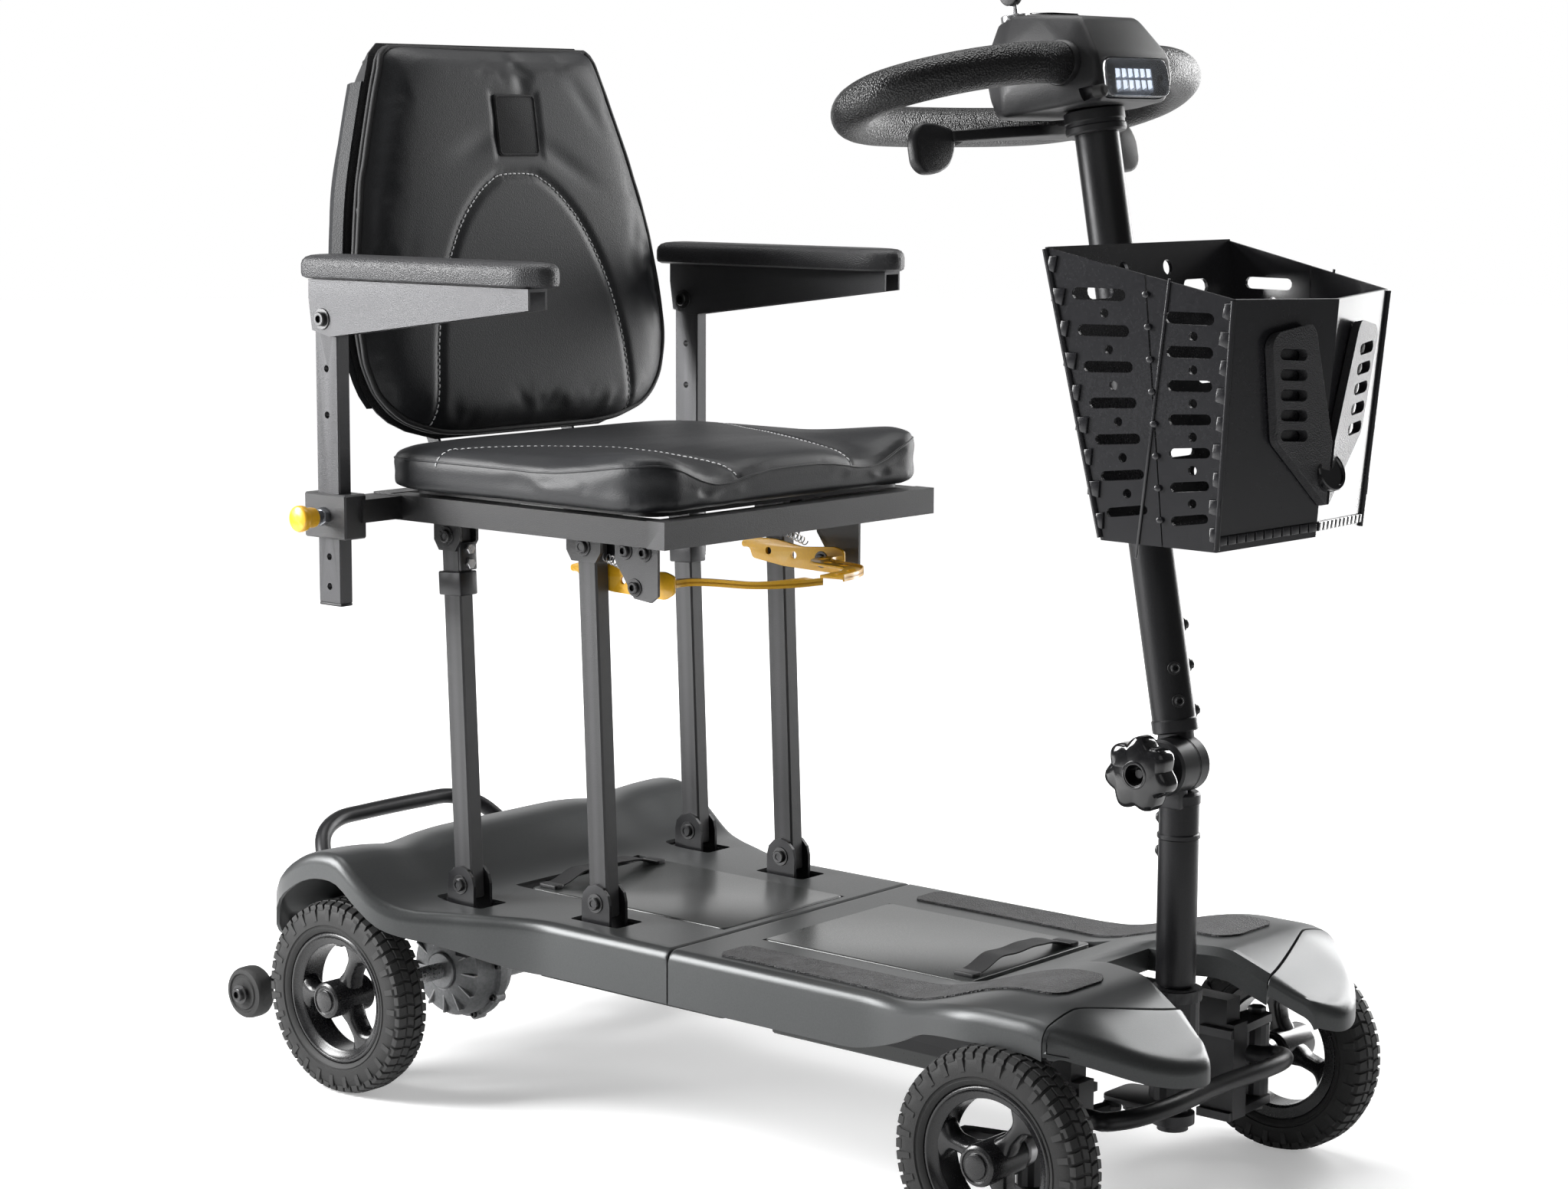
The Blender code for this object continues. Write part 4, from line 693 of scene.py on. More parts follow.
def scaled_plan(rim, inset):
    """The plan outline moved inwards, by shrinking it about its middle."""
    mid_y = (CUSHION_FRONT + CUSHION_BACK) / 2
    half_y = (CUSHION_BACK - CUSHION_FRONT) / 2
    return [(x * (1 - inset / CUSHION_HALF), mid_y + (y - mid_y) * (1 - inset / half_y)) for x, y in rim]


# The backrest is worked out upright about its hinge; BACK leans it.
BACK_BOTTOM, BACK_TOP = -0.066, 0.294
BACK_TALL = BACK_TOP - BACK_BOTTOM
BACK_FRONT = -0.047
BACK_HALF = ((0.0, 0.07), (0.012, 0.112), (0.05, 0.158), (0.11, 0.185), (0.2, 0.1985), (0.3, 0.202),
             (0.42, 0.1985), (0.62, 0.185), (0.8, 0.164), (0.95, 0.144), (0.985, 0.138), (1.0, 0.128))


def back_half(z):
    return follow(BACK_HALF, (z - BACK_BOTTOM) / BACK_TALL)


def back_sections(front, back, shrink=0.0, crown=0.01, count=34, columns=25):
    """Horizontal rings of the pad between two depths, its front face crowned."""
    sections = []
    for k in range(count + 1):
        share = k / count
        z = BACK_BOTTOM + shrink + (BACK_TALL - 2 * shrink) * eased(share)
        half = back_half(z) - shrink
        height = (z - BACK_BOTTOM) / BACK_TALL
        end_round = max(0.0, 1 - (min(height, 1 - height) / 0.045)) ** 2
        ring = []
        for n in range(columns):
            u = -1 + 2 * n / (columns - 1)
            swell_out = crown * (1 - abs(u) ** 5) * (1 - abs(2 * height - 1) ** 6)
            roll = (front - back) * -0.42 * (abs(u) ** 14 + end_round)
            ring.append((u * half, front - swell_out + min(roll, 0.012), z))
        for n in range(columns):
            u = 1 - 2 * n / (columns - 1)
            roll = (back - front) * 0.3 * (abs(u) ** 14 + end_round)
            ring.append((u * half, back - min(roll, 0.01), z))
        sections.append(ring)
    return sections


ARCH = ((-0.128, -0.062), (-0.1235, -0.03), (-0.118, 0.02), (-0.108, 0.062), (-0.093, 0.098),
        (-0.074, 0.129), (-0.052, 0.152), (-0.033, 0.165), (-0.018, 0.1705))
# Folds in the pad: place across and up, turn, length and depth.
BACK_FOLDS = ((-0.045, 0.198, 0.35, 0.03, 0.0016), (0.062, 0.182, -0.5, 0.04, 0.0016),
              (-0.158, 0.06, 1.2, 0.05, 0.001), (0.16, 0.04, -1.2, 0.05, 0.0012),
              (0.02, 0.262, 1.5, 0.02, 0.003), (0.1, 0.235, -0.9, 0.03, 0.001),
              (0.15, 0.11, 1.3, 0.05, 0.001))


def make_backrest():
    front_pad = swell(loft(back_sections(BACK_FRONT + 0.004, BACK_FRONT + 0.026, 0.002, 0.006)), 0.005,
                      4.0, 0.006)
    front_pad = modified(front_pad, "SUBSURF", levels=1)
    arch = [Vector((x, 0, z)) for x, z in both_halves(ARCH)]
    fine_arch = smooth_path(arch, 0.004)
    for vert in front_pad.vertices:
        x, y, z = vert.co
        if y > BACK_FRONT + 0.012:
            continue
        near = min((Vector((x, 0, z)) - p).length for p in fine_arch)
        vert.co.y += 0.0026 * math.exp(-(near / 0.0045) ** 2)
        for px, pz, turn, long, deep in BACK_FOLDS:
            dx, dz = x - px, z - pz
            a = dx * math.cos(turn) + dz * math.sin(turn)
            b = -dx * math.sin(turn) + dz * math.cos(turn)
            vert.co.y += deep * math.exp(-(a / long) ** 2 - (b / 0.009) ** 2)
        patch = max(abs(x - 0.006), abs(z - 0.215))
        vert.co.y += 0.0015 * (1 - smoothstep(0.026, 0.034, patch))
    pad_mesh = front_pad.copy()
    pad = piece("backrest_front_pad", front_pad, "leather", "backrest", "leather", "backrest_pad",
                place=BACK)
    thread = stitches(arch, pad_mesh, (0, 1, 0))
    piece("backrest_stitch", thread, "thread", "backrest", "leather", place=BACK)

    patch = extruded(rounded([(-0.02, 0.187), (0.032, 0.187), (0.032, 0.243), (-0.02, 0.243)], 0.004),
                     "Y", -0.0008, 0.0008, 0.0005)
    shift = drape([Vector((0.006, 0, 0.215))], pad_mesh, (0, 1, 0), 0.0006)[0][0].y
    patch.transform(Matrix.Translation((0, shift, 0)))
    border = smooth_path([Vector((x, shift - 0.0008, z)) for x, z in rounded(
        [(-0.0185, 0.1885), (0.0305, 0.1885), (0.0305, 0.2415), (-0.0185, 0.2415)], 0.004)], 0.003,
                         closed=True)
    piece("backrest_patch", merged(patch, tube(border, 0.0008, 8, closed=True)), "mesh_cloth", "backrest",
          "leather", place=BACK)

    for name, depth, radius in (("front_piping", BACK_FRONT + 0.0085, 0.0028),
                                ("rear_piping", BACK_FRONT + 0.0255, 0.0024)):
        rim = cling(back_rim(depth), pad_mesh, radius * 0.3)
        piece(name, tube(smooth_path(rim, 0.005, closed=True), radius, 12, closed=True), "binding",
              "backrest",
              "leather", place=BACK)
    make_pouch()


def back_rim(depth):
    """The backrest's edge as a closed ring at one depth."""
    zs = [BACK_BOTTOM + BACK_TALL * eased(k / 30) for k in range(31)]
    right_side = [Vector((back_half(z), depth, z)) for z in zs]
    return [Vector(p) for p in both_halves(right_side)]


def pouch_depth(height):
    """How far the pouch behind the backrest reaches back from the pad, by height share."""
    return follow([(0.0, 0.003), (0.22, 0.004), (0.3, 0.01), (0.4, 0.026), (0.49, 0.042), (0.62, 0.047),
                   (0.74, 0.045), (0.84, 0.0385), (0.92, 0.0265), (0.97, 0.014), (1.0, 0.004)], height)


def make_pouch():
    """The fabric sleeve and pouch behind the frame tube: sagging cloth with a bound top edge."""
    start = BACK_FRONT + 0.0262
    sections = []
    for k in range(40):
        height = k / 39
        z = BACK_BOTTOM + 0.004 + (BACK_TALL - 0.006) * height
        half = back_half(z) - 0.003
        ring = []
        for n in range(41):
            u = -1 + 2 * n / 40
            droop = 0.0022 * math.sin(9 * u + 5 * height) * math.sin(math.pi * height) * (1 - u * u)
            bulge = pouch_depth(height) * (0.9 + 0.16 * (1 - u * u)) * (1 - abs(u) ** 26)
            ring.append((u * half * 0.985, min(start + 0.0008 + bulge + droop * bulge / 0.05, 0.0345), z))
        for n in range(41):
            u = 1 - 2 * n / 40
            ring.append((u * half * 0.985, start - 0.0008, z))
        sections.append(ring)
    pouch = piece("backrest_pouch", loft(sections), "mesh_cloth", "backrest", "leather", place=BACK,
                  sharp=50)
    gussets = []
    for side, _ in SIDES:
        rows = []
        for k in range(26):
            height = 0.1 + 0.8 * k / 25
            z = BACK_BOTTOM + BACK_TALL * height
            x = side * (back_half(z) - 0.003)
            reach = min(0.02, pouch_depth(height) * 0.8)
            rows.append([(x, start, z), (x + side * 0.0035, start + reach * 0.5, z),
                         (x - side * 0.0015, start + reach, z), (x - side * 0.004, start + reach, z),
                         (x + side * 0.001, start + reach * 0.5, z), (x - side * 0.0025, start, z)])
        gussets.append(loft(rows))
    piece("pouch_gussets", merged(*gussets), "leather", "backrest", "leather", place=BACK)
    hem = [Vector((u * back_half(0.272) * 0.95, start + 0.004 + 0.01 * (1 - u * u),
                   0.275 - 0.006 * (1 - u * u)))
           for u in spread(15, -1, 1)]
    piece("pouch_hem", tube(smooth_path(hem, 0.008), 0.0024, 10), "webbing", "backrest", "leather",
          place=BACK)
    tabs = []
    for side, _ in SIDES:
        tabs.append(box((side * 0.0866 - 0.014, -0.01, -0.01), (side * 0.0866 + 0.014, -0.0075, 0.03),
                        0.001))
    piece("hinge_flaps", merged(*tabs), "webbing", "backrest", "leather", place=BACK)


def make_armrest_pads():
    """Moulded pads with chamfered front corners, a soft top and a grained skin."""
    for side, word in SIDES:
        low, high = near_axle(f"armrest_pad_{word}")
        (mid_x, mid_y, _), (half, reach, _) = (low + high) / 2, (high - low) / 2
        front, back = low.y, high.y
        outline = rounded([(half, back), (-half, back), (-half, front + 0.024), (-half + 0.013, front),
                           (half - 0.013, front), (half, front + 0.024)], 0.009, 6)
        sections = []
        for inset, z in ((0.0035, low.z), (0.0006, low.z + 0.0018), (0.0, low.z + 0.0045),
                         (0.0, high.z - 0.0085),
                         (0.0008, high.z - 0.005), (0.003, high.z - 0.0022), (0.0065, high.z - 0.0007),
                         (0.012, high.z)):
            sections.append([(mid_x + x * (1 - inset / half), mid_y + (y - mid_y) * (1 - inset / reach), z)
                             for x, y in outline])
        piece(f"armrest_cover_{word}", loft(sections), "grained", f"armrest_{word}", "black_plastic",
              f"armrest_pad_{word}")
        screws = [turned([(0.0042, 0), (0.0042, 0.0016), (0.003, 0.0024)], (0, 0, -1),
                         (mid_x, y, 0.7262), 16) for y in (-0.235, -0.085)]
        fasteners(f"armrest_screws_{word}", screws, f"armrest_{word}")


make_cushion()
make_backrest()
make_armrest_pads()


# ---- body covers, noses and grip strips -----------------------------------------------------------
COVER_WALL = 0.003
SHOULDER = 0.0095


def rear_top(x, y):
    rise = follow([(-0.1, 0.0), (-0.081, 0.0015), (-0.062, 0.008), (-0.039, 0.0235), (-0.015, 0.039),
                   (0.008, 0.041), (0.03, 0.036), (0.057, 0.0215), (0.08, 0.002), (0.1, -0.03)], y)
    dip = 0.006 * math.exp(-((abs(x) - 0.135) / 0.035) ** 2) * smoothstep(-0.09, -0.02, y)
    return DECK_Z + rise - dip


def rear_half(y):
    return follow([(-0.215, 0.166), (-0.13, 0.196), (-0.06, 0.23), (0.0, 0.232), (0.06, 0.228),
                   (0.09, 0.212), (0.104, 0.19)], y)


def front_top(x, y):
    lift = 0.0275 * (1 - smoothstep(-0.715, -0.585, y))
    fall = 0.044 * (1 - smoothstep(-0.85, -0.745, y))
    outward = 0.01 * max(0.0, (abs(x) - 0.15) / 0.054) ** 2 * (1 - smoothstep(-0.72, -0.62, y))
    return DECK_Z + lift - fall - outward


def front_half(y):
    return follow([(-0.695, 0.204), (-0.56, 0.166)], y)


def arch_half(y):
    return follow([(-0.8, 0.062), (-0.7, 0.036)], y)


def nose_seam(x):
    return -0.792 + 0.03 * min(1.0, max(0.0, (abs(x) - 0.062) / 0.1)) ** 1.2


def shoulder_drop(distance, radius=SHOULDER):
    """How far a rounded edge has fallen at a distance from the side."""
    if distance >= radius:
        return 0.0
    return radius - math.sqrt(max(0.0, radius ** 2 - (radius - distance) ** 2))


def edge_shares(half, count):
    """Positions across a half width, close together over the rounded shoulder."""
    shoulder = [SHOULDER * (1 - math.cos(math.radians(a))) for a in (0, 20, 40, 60, 78, 90)]
    flat = [half - d for d in shoulder]
    return [flat[-1] * k / count for k in range(count)] + flat[::-1]


def facing_up(rows, skip=lambda r, k: False):
    """A sheet through rows of points, without the skipped faces, its faces looking upwards."""
    bm = bmesh.new()
    grid = [[bm.verts.new(p) for p in row] for row in rows]
    for r, (a, b) in enumerate(zip(grid, grid[1:])):
        for k in range(len(a) - 1):
            if not skip(r, k):
                bm.faces.new((a[k], a[k + 1], b[k + 1], b[k]))
    bmesh.ops.delete(bm, geom=[v for v in bm.verts if not v.link_faces], context="VERTS")
    bmesh.ops.recalc_face_normals(bm, faces=bm.faces)
    if sum(f.normal.z for f in bm.faces) < 0:
        bmesh.ops.reverse_faces(bm, faces=bm.faces)
    return bm


def skinned(rows, skirt, skip=lambda r, k: False):
    """A shell from rows of points; its open rim is turned down by the skirt in three steps."""
    bm = facing_up(rows, skip)
    rim = [e for e in bm.edges if e.is_boundary]
    start = {}
    for part in (0.12, 0.6, 1.0):
        made = bmesh.ops.extrude_edge_only(bm, edges=rim)
        new_verts = [g for g in made["geom"] if isinstance(g, bmesh.types.BMVert)]
        for vert in new_verts:
            top = start.get(tuple(round(c, 6) for c in vert.co[:2]), vert.co.z)
            start[tuple(round(c, 6) for c in vert.co[:2])] = top
            vert.co.z = top - skirt(vert.co.x, vert.co.y, top) * part
        rim = [g for g in made["geom"] if isinstance(g, bmesh.types.BMEdge)]
    return modified(mesh_from(bm, recalc=False), "SOLIDIFY", thickness=COVER_WALL, offset=-1,
                    use_even_offset=True)


def make_rear_cover():
    seam, tail = SEAM_Y + 0.0008, 0.102
    ys = [seam, seam + 0.0006, seam + 0.002, seam + 0.004] + spread(46, seam + 0.01, tail - 0.012)
    ys += [tail - 0.008, tail - 0.005, tail - 0.0025, tail - 0.0008, tail]
    rows = []
    for y in ys:
        half = rear_half(y)
        across = edge_shares(half, 22)
        line = [-x for x in across[:0:-1]] + across
        near_seam = shoulder_drop(max(0.0, y - seam), 0.0022)
        near_tail = shoulder_drop(max(0.0, tail - y), 0.008)
        rows.append([(x, y, rear_top(x, y) - shoulder_drop(half - abs(x)) - near_seam - near_tail)
                     for x in line])

    def skirt(x, y, z):
        if y > tail - 0.002 and abs(x) < 0.18:
            return 0.02
        if y < seam + 0.001 and abs(x) < 0.161:
            return 0.01
        deck = z - 0.133
        return deck + (0.014 - deck) * smoothstep(-0.2, -0.075, y)

    body = skinned(rows, skirt)
    low, high = near_axle("rear_battery")
    window = box((low.x - 0.001, low.y - 0.001, 0.12), (high.x + 0.001, high.y + 0.018, 0.3))
    cuts = [window]
    for node in ("rear_leg_left", "front_leg_left", "rear_leg_right", "front_leg_right"):
        x, y = middle(node).x, LEGS[node.split("_")[0]][1]
        hole = rounded(rectangle(x - 0.0167, y - 0.0304, x + 0.0167, y + 0.0262), 0.004, 4)
        cuts.append(extruded(hole, "Z", 0.12, 0.26))
    piece("rear_body", combined(body, cuts), "cover", "chassis", "cover_gunmetal", "rear_cover", edge=0.0009)


def make_front_cover():
    seam = SEAM_Y - 0.0008
    ys = [seam, seam - 0.0006, seam - 0.002, seam - 0.004] + spread(50, seam - 0.01, -0.76)
    rows = []
    for y in ys + ["nose"]:
        level = -0.79 if y == "nose" else y
        inner, outer = arch_half(level), front_half(level)
        near_seam = 0.0 if y == "nose" else shoulder_drop(max(0.0, seam - y), 0.0022)
        row = []
        span = edge_shares(outer - inner, 20)
        for side in (-1, 1):
            line = span[::-1] if side < 0 else span
            for step in line:
                x = side * (inner + step)
                where = nose_seam(x) + 0.0004 if y == "nose" else max(y, nose_seam(x) + 0.002)
                lip = shoulder_drop(max(0.0, step), 0.006) * (1 - smoothstep(-0.7, -0.68, where))
                z = front_top(x, where) - shoulder_drop(outer - inner - step) - near_seam - lip
                row.append((x, where, z))
        rows.append(row)
    count = len(rows[0]) // 2

    def skirt(x, y, z):
        if abs(x) < 0.1 and y < -0.685:
            return 0.018
        if y > seam - 0.001 and abs(x) < 0.161:
            return 0.01
        deck = z - 0.133
        return deck + (0.014 - deck) * (1 - smoothstep(-0.64, -0.54, y))

    solid = skinned(rows, skirt, lambda r, k: k == count - 1 and ys[min(r, len(ys) - 1)] < -0.69)
    low, high = near_axle("front_battery")
    window = box((low.x - 0.001, low.y - 0.02, 0.12), (high.x + 0.001, high.y + 0.001, 0.3))
    piece("front_body", combined(solid, [window]), "cover", "chassis", "cover_gunmetal", "front_cover",
          edge=0.0009)


NOSE_TIP = ((0.078, -0.826), (0.096, -0.8405), (0.122, -0.8365), (0.154, -0.818), (0.183, -0.79),
            (0.2, -0.768))


def make_noses():
    tip = smooth_path([Vector((x, y, 0)) for x, y in NOSE_TIP], 0.002)
    for side, word in SIDES:
        rows = []
        for t in [0.0, 0.02, 0.06] + spread(14, 0.12, 0.82) + [0.88, 0.93, 0.97, 0.99, 1.0]:
            row = []
            for share in [0, 0.01, 0.03] + spread(20, 0.07, 0.9) + [0.94, 0.965, 0.985, 0.996, 1]:
                inner, outer = arch_half(-0.79), front_half(-0.79)
                x0 = inner + (outer - inner) * share
                start = Vector((x0, nose_seam(x0) - 0.0006, 0))
                end = tip[min(len(tip) - 1, round(share * (len(tip) - 1)))]
                spot = start.lerp(end, t)
                out = (1 - share) * (outer - inner)
                ahead = (1 - t) * (start - end).length
                drop = (shoulder_drop(out, 0.008) + shoulder_drop(ahead, 0.009)
                        + shoulder_drop(share * 0.13, 0.005))
                row.append((side * spot.x, spot.y, front_top(spot.x, spot.y) - min(drop, 0.0115)
                            - shoulder_drop(t * 0.05, 0.0015)))
            rows.append(row)
        mesh = skinned(rows, lambda x, y, z: 0.01)
        piece(f"nose_{word}", mesh, "cover", "chassis", "cover_gunmetal", f"front_nose_{word}", edge=0.0006)


STRIP = ((-0.392, 0.112, 0.15), (-0.56, 0.11, 0.152), (-0.6, 0.107, 0.158), (-0.64, 0.1, 0.166),
         (-0.675, 0.089, 0.158), (-0.7, 0.083, 0.156), (-0.73, 0.082, 0.154), (-0.742, 0.092, 0.15))


def make_strips():
    """Sandpaper-like strips that lie on the cover and follow its curve."""
    inner = sorted((y, a) for y, a, _ in STRIP)
    outer = sorted((y, b) for y, _, b in STRIP)
    for side, word in SIDES:
        rows = []
        for y in spread(90, -0.742, -0.392):
            end = max(0.0, 1 - min(y + 0.742, -0.392 - y) / 0.007)
            pinch = 0.007 * (1 - math.sqrt(max(0.0, 1 - end ** 2)))
            xs = spread(12, follow(inner, y) + pinch, follow(outer, y) - pinch)
            rows.append([(side * x, y, front_top(x, y) + 0.0016) for x in xs])
        mesh = modified(mesh_from(facing_up(rows), recalc=False), "SOLIDIFY", thickness=0.0014, offset=-1,
                        use_even_offset=True)
        piece(f"grip_surface_{word}", mesh, "grit", "chassis", "grit", f"grip_strip_{word}")


make_rear_cover()
make_front_cover()
make_noses()
make_strips()


# ---- wheels ---------------------------------------------------------------------------------------
def tread_block(turn, low_x, high_x, long, skew, inner, outer):
    """One tread block: a small bevelled patch on the tyre's round, its ends skewed."""
    bm = bmesh.new()
    corners = []
    for radius, shrink in ((inner, 0.0), (outer - 0.0006, 0.0), (outer, 0.1)):
        ring = []
        for x, a in ((low_x, 0.0), (high_x, 0.0), (high_x, long), (low_x, long)):
            mid_x, mid_a = (low_x + high_x) / 2, long / 2
            x2, a2 = x + (mid_x - x) * shrink, a + (mid_a - a) * shrink
            around = turn + a2 + skew * (x2 - low_x)
            fall = 0.0035 * max(0.0, (abs(x2) - 0.01) / 0.008) ** 2
            ring.append(bm.verts.new((x2, (radius - fall) * math.sin(around),
                                      (radius - fall) * math.cos(around))))
        corners.append(ring)
    bridge(bm, corners)
    return mesh_from(bm)


def tyre_mesh():
    """A solid tyre about X: rounded carcass, stepped side walls and four rows of tread blocks."""
    half, rim = 0.0178, 0.0596
    carcass = [(rim, -0.0146), (rim + 0.0012, -0.016), (rim + 0.004, -0.0172), (rim + 0.0046, -0.0164),
               (rim + 0.0062, -0.0166), (rim + 0.007, -half), (0.073, -half), (0.0765, -half + 0.0006),
               (0.0805, -half + 0.0018), (0.0838, -half + 0.0042), (0.0856, -half + 0.0085), (0.086, 0.0)]
    profile = carcass + [(r, -x) for r, x in carcass[-2::-1]]
    meshes = [turned(profile, ALONG_X, ORIGIN, 96, closed=True)]
    count = 54
    pitch = 2 * math.pi / count
    for k in range(count):
        turn = k * pitch
        for ahead, low_x, high_x, long, skew, inner, outer in (
            (0.0, 0.0006, 0.0078, 0.78, 3.0, 0.085, WHEEL_RADIUS),
            (0.5, -0.0078, -0.0006, 0.78, -3.0, 0.085, WHEEL_RADIUS),
            (1 / 3, 0.009, 0.0166, 0.74, -2.0, 0.082, WHEEL_RADIUS - 0.0006),
            (1 / 3, -0.0166, -0.009, 0.74, 2.0, 0.082, WHEEL_RADIUS - 0.0006)):
            meshes.append(tread_block(turn + pitch * ahead, low_x, high_x, pitch * long, skew, inner, outer))
        if k % 2 == 0:
            for x in (-0.0174, 0.0174):
                meshes.append(tread_block(turn + pitch / 3, x - 0.001, x + 0.001, pitch * 0.55, 0.0,
                                          0.0745, 0.084))
    return merged(*meshes)


def rim_mesh(side):
    """A moulded rim about X: lipped ring, three flared spokes and a hub with a domed cap."""
    ring = [(0.048, -0.0125), (0.05, -0.015), (0.0592, -0.0152), (0.0592, 0.014), (0.0578, 0.0152),
            (0.0562, 0.0152), (0.0552, 0.0138), (0.053, 0.0118), (0.05, 0.0112), (0.0482, 0.01)]
    meshes = [turned(ring, (side, 0, 0), (0, 0, 0), 80, closed=True)]
    meshes.append(turned([(0.013, -0.0185), (0.015, -0.019), (0.0165, -0.0175), (0.0165, 0.0235),
                          (0.0158, 0.0258), (0.014, 0.0272), (0.0128, 0.0274), (0.0124, 0.0262),
                          (0.01, 0.0262), (0.0096, 0.0282), (0.006, 0.0291),
                          (0.001, 0.0293)], (side, 0, 0), (0, 0, 0), 40))
    for k in range(3):
        sections = []
        for radius in spread(15, 0.013, 0.0505):
            out = (radius - 0.013) / 0.0375
            root, flare = 0.005 * (1 - smoothstep(0.0, 0.35, out)), 0.012 * smoothstep(0.55, 1.0, out) ** 1.6
            wide = 0.0058 + root + flare
            deep_front = 0.0105 + 0.0015 * (1 - out)
            bend = 0.16 * math.sin(math.pi * out) * side
            ring_points = []
            for n in range(20):
                a = 2 * math.pi * n / 20
                ca, sa = math.cos(a), math.sin(a)
                across = wide * squarish(ca, 0.75)
                depth = (deep_front if sa > 0 else 0.008) * squarish(sa, 0.6)
                turn = bend * 0.18 + across / radius
                ring_points.append((side * depth, radius * math.sin(turn), radius * math.cos(turn)))
            sections.append(ring_points)
        spoke = loft(sections)
        spoke.transform(Matrix.Rotation(math.radians(96 + 120 * k) * side, 4, "X"))
        meshes.append(spoke)
    return merged(*meshes)


def make_wheels():
    tyre = tyre_mesh()
    for side, word in SIDES:
        rim = rim_mesh(side)
        for end in ("rear", "front"):
            at = Matrix.Translation(middle(f"tyre_{end}_{word}"))
            turn = Matrix.Rotation(0.0 if end == "rear" else math.radians(14), 4, "X")
            piece(f"treaded_tyre_{end}_{word}", tyre.copy(), "rubber", f"{end}_wheel_{word}", "tyre_rubber",
                  f"tyre_{end}_{word}", place=at @ turn)
            piece(f"moulded_rim_{end}_{word}", rim.copy(), "rim", f"{end}_wheel_{word}", "gloss_plastic",
                  f"rim_{end}_{word}", place=at @ turn, edge=0.0005)
        spot = middle(f"anti_tip_wheel_{word}")
        roller = turned([(0.0062, -0.0095), (0.015, -0.0098), (0.016, -0.0085), (0.018, -0.0085),
                         (0.019, -0.0099), (0.0225, -0.0092), (0.024, -0.007), (0.0245, -0.004),
                         (0.0245, 0.004), (0.024, 0.007), (0.0225, 0.0092), (0.019, 0.0099),
                         (0.018, 0.0085), (0.016, 0.0085), (0.015, 0.0098),
                         (0.0062, 0.0095)], ALONG_X, spot, 56, closed=True)
        piece(f"trail_roller_{word}", roller, "rubber", f"anti_tip_{word}", "roller_rubber",
              f"anti_tip_wheel_{word}", place=Matrix.Identity(4))
        bolt = bolt_head(spot + Vector((side * 0.0135, 0, 0)), (side, 0, 0), 0.0062, 0.005)
        piece(f"roller_bolt_{word}", bolt, "bolt", "chassis", "steel", place=Matrix.Identity(4))


make_wheels()


# ---- tiller: worked out in the leaning tube's frame, the hinge at its origin -----------------------
def hull(points, bevel):
    bm = bmesh.new()
    for point in points:
        bm.verts.new(point)
    bmesh.ops.convex_hull(bm, input=bm.verts)
    bmesh.ops.delete(bm, geom=[v for v in bm.verts if not v.link_faces], context="VERTS")
    bmesh.ops.dissolve_limit(bm, angle_limit=math.radians(3), verts=bm.verts, edges=bm.edges)
    bmesh.ops.bevel(bm, geom=bm.edges[:], offset=bevel, segments=3, affect="EDGES", profile=0.55)
    return mesh_from(bm)


LAMP = (0.0425, 0.0148)        # half width and half height of the headlight
LAMP_W = 0.5345


